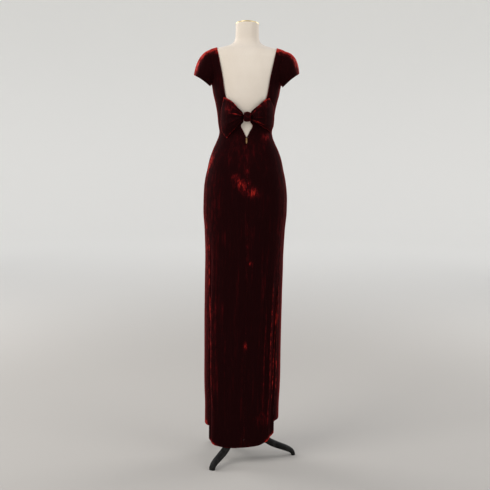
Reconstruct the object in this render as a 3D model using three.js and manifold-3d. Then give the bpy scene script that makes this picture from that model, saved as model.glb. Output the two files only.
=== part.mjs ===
// Column evening gown with a low back and a bow, standing on a limbless dress form.
// Millimetres, +Z up. The origin is on the floor under the pole. The back of the gown
// faces -Y, its front +Y, and +X is the wearer's right.
import * as THREE from "three";
import { mergeVertices } from "three/addons/utils/BufferGeometryUtils.js";
import Module from "manifold-3d";

const wasm = await Module();
wasm.setup();

// Driving dimensions of the gown
const WALL = 2.0; // thickness of the velvet
const SEAM_GAP = 0.3; // between neighbouring pieces
const ROUNDNESS = 2.3; // exponent of the body's oval sections, 2 is an ellipse
const CENTRE_BACK = 4; // how far the bodice's centre back stands from the middle
const UNDERARM = 1513;
const WAIST = 1326;
const WAIST_DIP = { deep: 14, at: 271, wide: 16 }; // its drop at the centre back, in degrees
const SLIT_TOP = 775; // top of the side slit on the wearer's right
const SLIT_OPENS_OVER = 120; // height over which the slit reaches its full width
const SLIT_DRAW = { front: 4, back: 0.5 }; // degrees that its edges stand back from the seam's line
const SLIT_LIFT = { proud: 4, within: 26 }; // its front edge stands out, over these degrees
const FRONT_HEM = { middle: 152, right: 168, left: 143 };
const FRONT_CORNER = { rise: 6, from: 4, to: 30 }; // its rise to the slit, over degrees behind the side

// The gown's outside, section by section: half the width, and how far the back and the
// front stand from the middle
const BODY = [
  { z: 60, half: 149.5, back: 124, front: 98 },
  { z: 215, half: 149.5, back: 124, front: 98 },
  { z: 290, half: 152.5, back: 124, front: 98.5 },
  { z: 360, half: 154, back: 124, front: 99 },
  { z: 600, half: 154.5, back: 124.5, front: 100 },
  { z: 820, half: 154, back: 125.5, front: 102 },
  { z: 940, half: 158, back: 127, front: 105 },
  { z: 1020, half: 164, back: 128, front: 107 },
  { z: 1060, half: 164, back: 128, front: 107 },
  { z: 1100, half: 163, back: 126, front: 106 },
  { z: 1140, half: 159, back: 122, front: 104 },
  { z: 1180, half: 150.5, back: 116, front: 102 },
  { z: 1220, half: 142, back: 107, front: 99 },
  { z: 1260, half: 128.5, back: 96, front: 94.5 },
  { z: 1290, half: 115.5, back: 87, front: 91 },
  { z: 1312, half: 107, back: 81.5, front: 89 },
  { z: 1330, half: 104.5, back: 80, front: 89 },
  { z: 1360, half: 109, back: 83, front: 92 },
  { z: 1400, half: 113.5, back: 87, front: 101 },
  { z: 1440, half: 120, back: 92, front: 114 },
  { z: 1480, half: 130, back: 97, front: 123 },
  { z: 1513, half: 136.5, back: 100, front: 121 },
  { z: 1545, half: 148, back: 100, front: 112 },
  { z: 1575, half: 163, back: 98, front: 100 },
  { z: 1604, half: 173, back: 93, front: 88 },
  { z: 1626, half: 170, back: 87, front: 79 },
  { z: 1641, half: 160, back: 81, front: 73 },
  { z: 1652, half: 142, back: 76, front: 69 },
  { z: 1659, half: 119, back: 72, front: 66 },
  { z: 1665, half: 92, back: 66, front: 62 },
  { z: 1673, half: 66, back: 58, front: 56 },
  { z: 1684, half: 53, back: 52, front: 51 },
  { z: 1700, half: 48.5, back: 48.5, front: 48.5 },
  { z: 1760, half: 47, back: 47, front: 47 },
];

// How much wider the gown hangs on the wearer's right than on the left
const RIGHT_SIDE = [
  { z: 60, more: 3.5 },
  { z: 330, more: 3 },
  { z: 480, more: 1.8 },
  { z: 680, more: 3 },
  { z: 800, more: 5 },
  { z: 1060, more: 5.2 },
  { z: 1150, more: 2.5 },
  { z: 1240, more: 2 },
  { z: 1295, more: 0 },
  { z: 1760, more: 0 },
];

// How far the skirt's centre-back seam runs from the middle
const CENTRE_SEAM = [
  { z: 60, across: 12 },
  { z: 700, across: 12.5 },
  { z: 900, across: 13.5 },
  { z: 1100, across: 11 },
  { z: 1200, across: 8 },
  { z: 1300, across: CENTRE_BACK },
];

// Where the side seams run, in degrees behind the side of the body
const SIDE_SEAM = [
  { z: 60, behind: 31 },
  { z: 300, behind: 31 },
  { z: 800, behind: 29 },
  { z: 1050, behind: 21 },
  { z: 1330, behind: 8 },
  { z: 1513, behind: 0 },
];

// The bust of the bodice front: two soft cups
const CUP = { across: 68, z: 1478, wide: 40, tall: 48, proud: 11 };

// Folds of the skirt that hang from the hips, in degrees round the body from the
// wearer's right side by way of the front: ridges are proud, troughs have a minus
const FOLDS = [
  { top: 317, hem: 309, from: 860, proud: 3.2, wide: 4.5 },
  { top: 322, hem: 318, from: 820, proud: -2.4, wide: 3.5 },
  { top: 221, hem: 226, from: 980, proud: 2.6, wide: 5 },
  { top: 214, hem: 217, from: 1000, proud: -2.2, wide: 3.5 },
  { top: 251, hem: 246, from: 760, proud: -1.6, wide: 6 },
  { top: 288, hem: 292, from: 700, proud: 1.8, wide: 7 },
  { top: 150, hem: 146, from: 900, proud: 2.8, wide: 6 },
  { top: 118, hem: 122, from: 820, proud: -2.2, wide: 7 },
  { top: 74, hem: 68, from: 860, proud: 2.4, wide: 7 },
  { top: 32, hem: 36, from: 900, proud: -2.4, wide: 6 },
];
const FOLD_FADE = 260; // height over which a fold grows from nothing

// Height of the back hem across the gown
const BACK_HEM = [
  { across: -137, z: 114 },
  { across: -130, z: 91 },
  { across: -118, z: 77 },
  { across: -98, z: 70.5 },
  { across: -50, z: 68.5 },
  { across: 9, z: 72 },
  { across: 74, z: 80 },
  { across: 100, z: 91 },
  { across: 120, z: 107 },
  { across: 137, z: 125 },
];

// Inner edge of each back piece, from the middle: the keyhole, then the edge behind the
// bow, then the strap. It is measured from the centre back at the keyhole and from the
// body's middle at the strap.
const BACK_EDGE = [
  { z: 1312, in: 0.1 },
  { z: 1336, in: 12 },
  { z: 1359, in: 22.5 },
  { z: 1374, in: 13 },
  { z: 1398, in: 12 },
  { z: 1412, in: 17 },
  { z: 1426, in: 31 },
  { z: 1440, in: 50 },
  { z: 1455, in: 70 },
  { z: 1470, in: 80 },
  { z: 1504, in: 86.5 },
  { z: 1540, in: 92 },
  { z: 1573, in: 98 },
  { z: 1607, in: 105 },
  { z: 1635, in: 110.5 },
  { z: 1661, in: 117 },
];
const KEYHOLE_TOP = 1374;
const STRAP_START = 1470;

// Inner edge of the front strap, and the height of the neckline between the straps
const FRONT_EDGE = [
  { z: 1513, in: 88 },
  { z: 1560, in: 98 },
  { z: 1610, in: 107 },
  { z: 1661, in: 117 },
];
const NECKLINE_DIP = 16; // how much lower the front neckline is in the middle
const SHOULDER = 1661; // height of the tables' last rows, at the shoulder

// The armhole's edge, from the middle, on the back and on the front
const ARMHOLE = [
  { z: 1513, back: 136.5, front: 136.5 },
  { z: 1517, back: 134.2, front: 133.4 },
  { z: 1524, back: 131, front: 129 },
  { z: 1540, back: 127.5, front: 123.5 },
  { z: 1568, back: 126.5, front: 120.5 },
  { z: 1600, back: 131, front: 126.5 },
  { z: 1626, back: 139, front: 136 },
  { z: 1642, back: 146, front: 145 },
  { z: 1661, back: 151, front: 151 },
];

// The cap sleeve's open end: an oval from the tip to under the arm. The left one droops more.
const SLEEVE = { tip: 207.4, under: 142, underZ: 1507, deep: 60, sag: 5 };
const SLEEVE_RIGHT = { tipZ: 1561, bendOut: 0.9, bendDown: 0.12 };
const SLEEVE_LEFT = { tipZ: 1550, bendOut: 0.8, bendDown: 0.22 };
const SLEEVE_ROWS = 6;

// Bow: where each half ends at the side, from its lower tip to its upper corner, and how
// far it stands off the body
const BOW_LEFT_END = [
  { up: 0, x: -72, z: 1308 },
  { up: 0.25, x: -92, z: 1336 },
  { up: 0.5, x: -97, z: 1374 },
  { up: 0.75, x: -95, z: 1420 },
  { up: 1, x: -86, z: 1467 },
];
const BOW_RIGHT_END = [
  { up: 0, x: 97, z: 1333 },
  { up: 0.25, x: 107, z: 1358 },
  { up: 0.5, x: 109.5, z: 1394 },
  { up: 0.75, x: 106, z: 1432 },
  { up: 1, x: 90, z: 1466 },
];
const BOW = {
  middle: CENTRE_BACK + 1, // the knot's place across
  z: 1394.5,
  throat: 19, // height of a half where the knot holds it
  throatLong: 15.5,
  off: 15, // how far the throat stands off the body
  rest: WALL + 0.6, // and how far the end at the side does
  tipLift: 1.2, // how much more the lower tip does
  puff: 20,
  crown: 17, // how far the upper edge arches
};
const BOW_PLEATS = [
  { up: 0.24, proud: -4.2, wide: 0.1, side: -1 },
  { up: 0.46, proud: 2.6, wide: 0.1, side: -1 },
  { up: 0.66, proud: -4.6, wide: 0.09, side: -1 },
  { up: 0.22, proud: 4.4, wide: 0.12, side: 1 },
  { up: 0.42, proud: -4.4, wide: 0.08, side: 1 },
  { up: 0.78, proud: -3.4, wide: 0.08, side: 1 },
];
const KNOT = { wide: 29, tall: 37, deep: 34, off: 19, taper: 0.86, pleat: 1.1 };

// Zip slider and its pull
const SLIDER = { wide: 5.5, tall: 8.4, thick: 1.6, z: 1306.5 };
const BRIDGE = { wide: 1.8, post: 0.8, reach: 3.8, top: 2.8, bar: 0.9 };
const PULL = { wide: 5.4, long: 17, thick: 1, arm: 1.1, eye: 4.8, end: 3.4 };
const PIVOT_OFF = 1.0; // from the slider's face to the middle of the pull's crossbar

// Dress form: how far it stands inside the cloth, and its own ends
const FORM_CLEAR = 3; // inside the bodice and the hips
const SHOULDER_CLEAR = 0.7; // where the straps rest
const FORM_BOTTOM = 900;
const NECK_START = 1700;
const NECK_TOP = 1746.5; // in its middle
const NECK_TILT = 16; // degrees that its top leans towards the front
const CAP = { radius: 45.5, rim: 4.5, dome: 3.5 };

// Pole, hub and legs
const POLE_RADIUS = 11;
const FLANGE = { radius: 40, thick: 6 };
const HUB = { bottom: 110, top: 170, radius: 27 };
const LEG = [
  { out: 27.5, up: 136, tall: 34, wide: 26 },
  { out: 44, up: 126, tall: 32, wide: 27 },
  { out: 66, up: 104, tall: 30, wide: 28 },
  { out: 88, up: 81.5, tall: 28.5, wide: 29 },
  { out: 108, up: 64.5, tall: 28, wide: 29.5 },
  { out: 128, up: 52.3, tall: 28, wide: 30 },
  { out: 150, up: 43, tall: 27, wide: 30 },
  { out: 172, up: 35, tall: 25.5, wide: 29 },
  { out: 193, up: 27, tall: 23.5, wide: 27.5 },
  { out: 210, up: 17, tall: 20, wide: 26 },
  { out: 217, up: 7, tall: 17, wide: 25 },
  { out: 218, up: 0, tall: 16, wide: 24 },
];
const LEG_SIDES = 10;
const LEG_TURNS = { leg_right: 4.5, leg_far: 122, leg_near: 239 };

// Steps of the cloth's grids
const FRONT_COLUMNS = 26;
const BACK_COLUMNS = 10;
const SKIRT_ROWS = [1300, 1272, 1240, 1205, 1165, 1120, 1070, 1010, 930, 820, 700, 560, 420, 290, 215];
const BODICE_ROWS = [1345, 1359, 1374, 1398, 1412, 1426, 1440, 1455, 1470, 1490];
const STRAP_ROWS = 12;
const STRAP_COLUMNS = 4; // of the front's columns, those of each strap
const NECKLINE_ROW = 4; // the strap row at which the neckline lies

const VELVET = new THREE.MeshStandardMaterial({ color: 0x5a0d14, roughness: 0.85, metalness: 0 });
const CREAM = new THREE.MeshStandardMaterial({ color: 0xe3d8c6, roughness: 0.8, metalness: 0 });
const BRASS = new THREE.MeshStandardMaterial({ color: 0xb8934a, roughness: 0.35, metalness: 0.9 });
const IRON = new THREE.MeshStandardMaterial({ color: 0x28272a, roughness: 0.5, metalness: 0.4 });

const gown = new THREE.Group();

function add(name, geometry, material, parent = gown) {
  const mesh = new THREE.Mesh(geometry, material);
  mesh.name = name;
  parent.add(mesh);
  return mesh;
}

const radians = THREE.MathUtils.degToRad;
const lerp = THREE.MathUtils.lerp;
const ramp = THREE.MathUtils.smoothstep;
const bump = (distance, width) => Math.exp(-((distance / width) ** 2));

// Value of a table's column at a place along its first column, by a curve that never
// overshoots its rows
function along(table, column, place) {
  const key = Object.keys(table[0])[0];
  const last = table.length - 1;
  if (place <= table[0][key]) return table[0][column];
  if (place >= table[last][key]) return table[last][column];
  const i = table.findIndex((row) => row[key] > place) - 1;
  const rise = (k) => (table[k + 1][column] - table[k][column]) / (table[k + 1][key] - table[k][key]);
  const slope = (k) => {
    if (k === 0) return rise(0);
    if (k === last) return rise(last - 1);
    const before = rise(k - 1);
    const after = rise(k);
    return before * after <= 0 ? 0 : (2 * before * after) / (before + after);
  };
  const span = table[i + 1][key] - table[i][key];
  const t = (place - table[i][key]) / span;
  const start = table[i][column];
  const end = table[i + 1][column];
  return (
    start * (1 + 2 * t) * (1 - t) ** 2 +
    span * slope(i) * t * (1 - t) ** 2 +
    end * t * t * (3 - 2 * t) +
    span * slope(i + 1) * t * t * (t - 1)
  );
}

const widthAt = (z, isRight) =>
  along(BODY, "half", z) + (isRight ? along(RIGHT_SIDE, "more", z) : 0);
const depthAt = (z, isFront) => along(BODY, isFront ? "front" : "back", z);

// A point of the body's plain outside, from its angle in degrees and its height
function ovalPoint(angle, z) {
  const cos = Math.cos(radians(angle));
  const sin = Math.sin(radians(angle));
  const power = 2 / ROUNDNESS;
  const x = Math.sign(cos) * Math.abs(cos) ** power * widthAt(z, cos > 0);
  const y = Math.sign(sin) * Math.abs(sin) ** power * depthAt(z, sin > 0);
  return new THREE.Vector3(x, y, z);
}

// The angle at which the body is a given distance across, on its back or its front
function angleAcross(x, z, isFront) {
  const share = THREE.MathUtils.clamp(Math.abs(x) / widthAt(z, x > 0), 0, 1);
  const turn = THREE.MathUtils.radToDeg(Math.acos(share ** (ROUNDNESS / 2)));
  const fromSide = isFront ? turn : -turn;
  return x >= 0 ? (fromSide + 360) % 360 : 180 - fromSide;
}

// The outward direction of the body's plain outside at one of its points
function outward(point) {
  const { x, y, z } = point;
  const step = 0.5;
  const inside = (atZ) =>
    (Math.abs(x) / widthAt(atZ, x > 0)) ** ROUNDNESS +
    (Math.abs(y) / depthAt(atZ, y > 0)) ** ROUNDNESS;
  const half = widthAt(z, x > 0);
  const depth = depthAt(z, y > 0);
  return new THREE.Vector3(
    (Math.sign(x) * ROUNDNESS * Math.abs(x) ** (ROUNDNESS - 1)) / half ** ROUNDNESS,
    (Math.sign(y) * ROUNDNESS * Math.abs(y) ** (ROUNDNESS - 1)) / depth ** ROUNDNESS,
    (inside(z + step) - inside(z - step)) / (2 * step),
  ).normalize();
}

// How far the cups and the hanging folds stand out from the plain outside
function relief(angle, point) {
  let proud = 0;
  if (point.y > 0) {
    proud += CUP.proud * bump(Math.abs(point.x) - CUP.across, CUP.wide) * bump(point.z - CUP.z, CUP.tall);
  }
  for (const fold of FOLDS) {
    const down = THREE.MathUtils.clamp((fold.from - point.z) / fold.from, 0, 1);
    const place = lerp(fold.top, fold.hem, down);
    const turn = ((angle - place + 540) % 360) - 180;
    const growth = 1 - ramp(point.z, fold.from - FOLD_FADE, fold.from);
    proud += fold.proud * growth * bump(turn, fold.wide);
  }
  return proud;
}

function clothPoint(angle, z) {
  const point = ovalPoint(angle, z);
  return point.addScaledVector(outward(point), relief(angle, point));
}

// A closed wall from a grid of outer points and the grid of inner points behind them.
// keep says which cells of the grid are cloth, and loop joins the last column to the first.
function wall(outer, inner, { keep = () => true, loop = false } = {}) {
  const rows = outer.length;
  const columns = outer[0].length;
  const cells = loop ? columns : columns - 1;
  const positions = [...outer.flat(), ...inner.flat()].flatMap((p) => [p.x, p.y, p.z]);
  const index = [];
  const at = (row, column, layer) => (layer * rows + row) * columns + (column % columns);
  const isCloth = (row, cell) => {
    if (row < 0 || row >= rows - 1) return false;
    if (!loop && (cell < 0 || cell >= cells)) return false;
    return keep(row, (cell + cells) % cells);
  };
  const quad = (a, b, c, d) => index.push(a, b, c, a, c, d);
  for (let row = 0; row < rows - 1; row += 1) {
    for (let cell = 0; cell < cells; cell += 1) {
      if (!isCloth(row, cell)) continue;
      const next = cell + 1;
      quad(at(row, cell, 0), at(row, next, 0), at(row + 1, next, 0), at(row + 1, cell, 0));
      quad(at(row, cell, 1), at(row + 1, cell, 1), at(row + 1, next, 1), at(row, next, 1));
      const rim = (r1, c1, r2, c2) => quad(at(r1, c1, 1), at(r2, c2, 1), at(r2, c2, 0), at(r1, c1, 0));
      if (!isCloth(row - 1, cell)) rim(row, cell, row, next);
      if (!isCloth(row + 1, cell)) rim(row + 1, next, row + 1, cell);
      if (!isCloth(row, cell - 1)) rim(row + 1, cell, row, cell);
      if (!isCloth(row, cell + 1)) rim(row, next, row + 1, next);
    }
  }
  return closed(positions, index);
}

function signedVolume(positions, index) {
  const corner = (i) => new THREE.Vector3().fromArray(positions, 3 * i);
  let volume = 0;
  for (let i = 0; i < index.length; i += 3) {
    volume += corner(index[i]).dot(corner(index[i + 1]).cross(corner(index[i + 2])));
  }
  return volume / 6;
}

// A geometry with only the points that its faces use, its faces pointing out
function closed(positions, index) {
  const faces = signedVolume(positions, index) < 0 ? [...index].reverse() : index;
  const used = [...new Set(faces)];
  const renamed = new Map(used.map((old, i) => [old, i]));
  const geometry = new THREE.BufferGeometry();
  const kept = used.flatMap((i) => positions.slice(3 * i, 3 * i + 3));
  geometry.setAttribute("position", new THREE.Float32BufferAttribute(kept, 3));
  geometry.setIndex(faces.map((i) => renamed.get(i)));
  geometry.computeVertexNormals();
  return geometry;
}

// Draws the edges of a piece back by half the gap, so that neighbours stay apart.
// edges names the sides to draw back: first or last row, first or last column.
function drawBack(outer, inner, edges) {
  const lastRow = outer.length - 1;
  const lastColumn = outer[0].length - 1;
  const moves = [];
  const shift = (row, column, towardsRow, towardsColumn) => {
    const step = outer[towardsRow][towardsColumn].clone().sub(outer[row][column]);
    moves.push({ row, column, step: step.setLength(SEAM_GAP / 2) });
  };
  for (let row = 0; row <= lastRow; row += 1) {
    if (edges.includes("firstColumn")) shift(row, 0, row, 1);
    if (edges.includes("lastColumn")) shift(row, lastColumn, row, lastColumn - 1);
  }
  for (let column = 0; column <= lastColumn; column += 1) {
    if (edges.includes("firstRow")) shift(0, column, 1, column);
    if (edges.includes("lastRow")) shift(lastRow, column, lastRow - 1, column);
  }
  for (const { row, column, step } of moves) {
    outer[row][column].add(step);
    inner[row][column].add(step);
  }
}

// The inner points of a piece that lies on the body
const lining = (outer) =>
  outer.map((row) => row.map((point) => point.clone().addScaledVector(outward(point), -WALL)));

function bodyPiece(outer, edges, keep) {
  const inner = lining(outer);
  drawBack(outer, inner, edges);
  return wall(outer, inner, { keep });
}

const seamBehind = (z) => along(SIDE_SEAM, "behind", z);
const centreBackAngle = (z) => angleAcross(along(CENTRE_SEAM, "across", z), z, false);

// The waist seam, which drops towards the centre back
const waistAt = (angle) => WAIST - WAIST_DIP.deep * bump(angle - WAIST_DIP.at, WAIST_DIP.wide);

// How far the slit has opened at a height, from 0 to 1
const slitOpen = (z) => 1 - ramp(z, SLIT_TOP - SLIT_OPENS_OVER, SLIT_TOP);

function skirtRows(hem) {
  return [null, ...SKIRT_ROWS, null].map((z, row, all) => (angle) => {
    if (row === 0) return waistAt(angle);
    if (row === all.length - 1) return hem(angle);
    return z;
  });
}

// The skirt's front: it reaches round both sides, and its free edge at the slit lifts
function skirtFront() {
  const hem = (angle) => {
    const cos = Math.cos(radians(angle));
    const rise = FRONT_CORNER.rise * ramp(-angle, FRONT_CORNER.from, FRONT_CORNER.to);
    return lerp(FRONT_HEM.middle, cos > 0 ? FRONT_HEM.right : FRONT_HEM.left, cos ** 2) + rise;
  };
  const outer = skirtRows(hem).map((height) => {
    const points = [];
    for (let column = 0; column <= FRONT_COLUMNS; column += 1) {
      const share = column / FRONT_COLUMNS;
      const level = height(lerp(0, 180, share));
      const behind = seamBehind(level);
      const open = slitOpen(level);
      const start = -behind + SLIT_DRAW.front * open;
      const angle = lerp(start, 180 + behind, share);
      const z = height(angle);
      const point = clothPoint(angle, z);
      const lift = SLIT_LIFT.proud * open * (1 - ramp(angle, start, start + SLIT_LIFT.within));
      points.push(point.addScaledVector(outward(point), lift));
    }
    return points;
  });
  return bodyPiece(outer, ["firstColumn", "lastColumn", "firstRow"]);
}

// One half of the skirt's back, from its side seam to the centre back
function skirtBack(side) {
  const outer = skirtRows(backHem).map((height) => {
    const points = [];
    for (let column = 0; column <= BACK_COLUMNS; column += 1) {
      const share = column / BACK_COLUMNS;
      const guess = height(270 + side * 80 * (1 - share));
      const draw = side > 0 ? SLIT_DRAW.back * slitOpen(guess) : 0;
      const start = 270 + side * (90 - seamBehind(guess) - draw);
      const angle = lerp(start, centreBackAngle(guess), share);
      points.push(clothPoint(angle, height(angle)));
    }
    return points;
  });
  return bodyPiece(outer, ["firstColumn", "lastColumn", "firstRow"]);
}

function backHem(angle) {
  return along(BACK_HEM, "z", ovalPoint(angle, BODY[0].z).x);
}

// Height of the shoulder's ridge at a distance from the middle
function ridge(across) {
  let low = 1604;
  let high = 1706;
  while (high - low > 0.01) {
    const middle = (low + high) / 2;
    if (along(BODY, "half", middle) > across) low = middle;
    else high = middle;
  }
  return (low + high) / 2;
}

// Share of the way from the underarm to the shoulder at each of a strap's rows, closer
// together at both ends
function strapShare(row) {
  const wave = (1 - Math.cos((Math.PI * row) / STRAP_ROWS)) / 2;
  return 1 - (1 - wave) ** 1.25;
}

// Angle and height of a strap's edge that runs at a given distance across
function strapEdge(across, row, isFront) {
  const z = lerp(UNDERARM, ridge(across), strapShare(row));
  const turn = row === STRAP_ROWS ? 0 : angleAcross(across, z, true);
  return { turn: isFront ? turn : -turn, z };
}

const strapHeight = (row) => lerp(UNDERARM, SHOULDER, strapShare(row));
const armhole = (row, isFront) =>
  strapEdge(along(ARMHOLE, isFront ? "front" : "back", strapHeight(row)), row, isFront);
const neckEdge = (row, isFront) =>
  strapEdge(along(isFront ? FRONT_EDGE : BACK_EDGE, "in", strapHeight(row)), row, isFront);

// A point of the cloth on the wearer's right or left, from its turn away from that side
const sidePoint = (side, turn, z) => clothPoint(side > 0 ? turn : 180 - turn, z);

// One back piece of the bodice, from the side to the keyhole and up its strap
function bodiceBack(side) {
  const edgeAngle = (z) => {
    if (z === WAIST) return centreBackAngle(z);
    const centre = CENTRE_BACK * (1 - ramp(z, KEYHOLE_TOP, STRAP_START));
    return angleAcross(centre + side * along(BACK_EDGE, "in", z), z, false);
  };
  const outer = [WAIST, ...BODICE_ROWS, UNDERARM].map((z) => {
    const points = [];
    const start = 270 + side * (90 - seamBehind(z));
    for (let column = 0; column <= BACK_COLUMNS; column += 1) {
      const angle = lerp(start, edgeAngle(z), column / BACK_COLUMNS);
      points.push(clothPoint(angle, z === WAIST ? waistAt(angle) : z));
    }
    return points;
  });
  for (let row = 1; row <= STRAP_ROWS; row += 1) {
    const from = armhole(row, false);
    const to = neckEdge(row, false);
    const points = [];
    for (let column = 0; column <= BACK_COLUMNS; column += 1) {
      const share = column / BACK_COLUMNS;
      points.push(sidePoint(side, lerp(from.turn, to.turn, share), lerp(from.z, to.z, share)));
    }
    outer.push(points);
  }
  return bodyPiece(outer, ["firstColumn", "lastColumn", "firstRow", "lastRow"]);
}

// The bodice's front with both straps, one piece. Its middle columns end at the neckline.
function bodiceFront() {
  const middleColumns = FRONT_COLUMNS / 2 - STRAP_COLUMNS;
  const levels = [WAIST, ...BODICE_ROWS.filter((z, i) => i % 2 === 1), UNDERARM];
  const turnAt = (fromSide, from, edge) =>
    fromSide <= STRAP_COLUMNS
      ? lerp(from, edge, fromSide / STRAP_COLUMNS)
      : lerp(edge, 90, (fromSide - STRAP_COLUMNS) / middleColumns);
  const eachColumn = (place) => {
    const points = [];
    for (let column = 0; column <= FRONT_COLUMNS; column += 1) {
      const side = column <= FRONT_COLUMNS / 2 ? 1 : -1;
      const { turn, z } = place(side > 0 ? column : FRONT_COLUMNS - column);
      points.push(sidePoint(side, turn, z));
    }
    return points;
  };
  const underarmEdge = neckEdge(0, true).turn;
  const outer = levels.map((z) =>
    eachColumn((fromSide) => {
      const even = lerp(-seamBehind(z), 90, (2 * fromSide) / FRONT_COLUMNS);
      const shaped = turnAt(fromSide, -seamBehind(z), underarmEdge);
      return { turn: lerp(even, shaped, ramp(z, WAIST, UNDERARM)), z };
    }),
  );
  const necklineEnd = neckEdge(NECKLINE_ROW, true).z;
  for (let row = 1; row <= STRAP_ROWS; row += 1) {
    const from = armhole(row, true);
    const edge = neckEdge(row, true);
    const up = Math.min(row / NECKLINE_ROW, 1);
    outer.push(
      eachColumn((fromSide) => {
        const turn = turnAt(fromSide, from.turn, edge.turn);
        if (fromSide <= STRAP_COLUMNS) return { turn, z: lerp(from.z, edge.z, fromSide / STRAP_COLUMNS) };
        const inward = (fromSide - STRAP_COLUMNS) / middleColumns;
        const middleZ = lerp(UNDERARM, necklineEnd - NECKLINE_DIP, up);
        const edgeZ = Math.min(edge.z, necklineEnd);
        return { turn, z: lerp(middleZ, edgeZ, (1 - inward) ** 2) };
      }),
    );
  }
  const keep = (row, cell) =>
    row < levels.length - 1 + NECKLINE_ROW ||
    cell < STRAP_COLUMNS ||
    cell >= FRONT_COLUMNS - STRAP_COLUMNS;
  return bodyPiece(outer, ["firstColumn", "lastColumn", "firstRow", "lastRow"], keep);
}

// A cap sleeve: it starts along the armhole's edge and ends in an open oval
function sleeve(side) {
  const { tipZ, bendOut, bendDown } = side > 0 ? SLEEVE_RIGHT : SLEEVE_LEFT;
  const edge = [];
  const addEdge = (row, isFront) => {
    const from = armhole(row, isFront);
    const to = neckEdge(row, isFront);
    const point = sidePoint(side, from.turn, from.z);
    const behind = sidePoint(side, lerp(from.turn, to.turn, 0.05), lerp(from.z, to.z, 0.05));
    edge.push({ point, out: point.clone().sub(behind).normalize(), normal: outward(point) });
  };
  for (let row = STRAP_ROWS; row > 0; row -= 1) addEdge(row, false);
  const under = clothPoint(side > 0 ? 0 : 180, UNDERARM);
  edge.push({ point: under, out: new THREE.Vector3(0, 0, 1), normal: outward(under) });
  for (let row = 1; row < STRAP_ROWS; row += 1) addEdge(row, true);
  const rows = [];
  for (let row = 0; row <= SLEEVE_ROWS; row += 1) {
    rows.push(
      edge.map(({ point, out }, k) => {
        const start = point.clone().addScaledVector(out, SEAM_GAP);
        const end = sleeveEnd(side, tipZ, (k / edge.length) * 2 * Math.PI);
        const bend = new THREE.Vector3(
          lerp(start.x, end.x, bendOut),
          lerp(start.y, end.y, 0.5) * 1.22,
          lerp(start.z, end.z, bendDown),
        );
        return new THREE.QuadraticBezierCurve3(start, bend, end).getPoint(row / SLEEVE_ROWS);
      }),
    );
  }
  const inside = new THREE.Vector3(side * (SLEEVE.under + SLEEVE.tip) * 0.46, 0, tipZ);
  const normals = ringNormals(rows, inside);
  const inner = rows.map((points, row) =>
    points.map((point, k) => {
      const share = Math.min(row / 2, 1);
      const normal = edge[k].normal.clone().lerp(normals[row][k], share).normalize();
      return point.clone().addScaledVector(normal, -WALL);
    }),
  );
  return wall(rows, inner, { loop: true });
}

// The sleeve's open end, all round from its tip by way of the back
function sleeveEnd(side, tipZ, turn) {
  const down = (1 - Math.cos(turn)) / 2;
  const across = lerp(SLEEVE.tip, SLEEVE.under, down);
  const droop = SLEEVE.sag * Math.sin(Math.PI * down);
  const z = lerp(tipZ, SLEEVE.underZ, down) + droop;
  return new THREE.Vector3(side * across, -SLEEVE.deep * Math.sin(turn), z);
}

// Unit normals of rings of points, away from a point inside them
function ringNormals(rings, inside) {
  const sides = rings[0].length;
  return rings.map((ring, row) =>
    ring.map((point, k) => {
      const round = ring[(k + 1) % sides].clone().sub(ring[(k + sides - 1) % sides]);
      const next = rings[Math.min(row + 1, rings.length - 1)][k];
      const previous = rings[Math.max(row - 1, 0)][k];
      const normal = round.cross(next.clone().sub(previous)).normalize();
      return normal.dot(point.clone().sub(inside)) < 0 ? normal.negate() : normal;
    }),
  );
}

// One half of the bow: a fan of soft pleats from the knot to the side of the back
function bowHalf(side) {
  const ends = side > 0 ? BOW_RIGHT_END : BOW_LEFT_END;
  const outSteps = 11;
  const upSteps = 12;
  const outer = [];
  for (let step = 0; step <= outSteps; step += 1) {
    const out = Math.max(step - 1, 0) / (outSteps - 1);
    const throatX = BOW.middle + side * BOW.throatLong * Math.min(step, 1);
    const points = [];
    for (let k = 0; k <= upSteps; k += 1) {
      const up = k / upSteps;
      const throatZ = BOW.z + BOW.throat * (up - 0.5);
      const x = lerp(throatX, along(ends, "x", up), out);
      const arch = BOW.crown * up ** 2 * Math.sin(Math.PI * out);
      const z = lerp(throatZ, along(ends, "z", up), out) + arch;
      const point = ovalPoint(angleAcross(x, z, false), z);
      const rounding = 1 - Math.abs(2 * up - 1) ** 3;
      const swell = Math.sin(Math.PI * out ** 0.8) ** 0.8;
      const rest = BOW.rest + BOW.tipLift * (1 - up) ** 2;
      let lift = lerp(BOW.off, rest, ramp(out, 0, 1)) + BOW.puff * swell * (0.35 + 0.65 * rounding);
      for (const pleat of BOW_PLEATS) {
        if (pleat.side !== side) continue;
        const reach = ramp(out, 0, 0.12) * (1 - ramp(out, 0.45, 0.95));
        lift += pleat.proud * reach * bump(up - pleat.up, pleat.wide);
      }
      points.push(point.addScaledVector(outward(point), lift));
    }
    outer.push(points);
  }
  const inner = outer.map((points, step) =>
    points.map((point) => {
      const back = outward(point).lerp(new THREE.Vector3(0, -1, 0), 1 - step / outSteps).normalize();
      return point.clone().addScaledVector(back, -WALL);
    }),
  );
  drawBack(outer, inner, ["firstRow"]);
  return wall(outer, inner);
}

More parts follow.
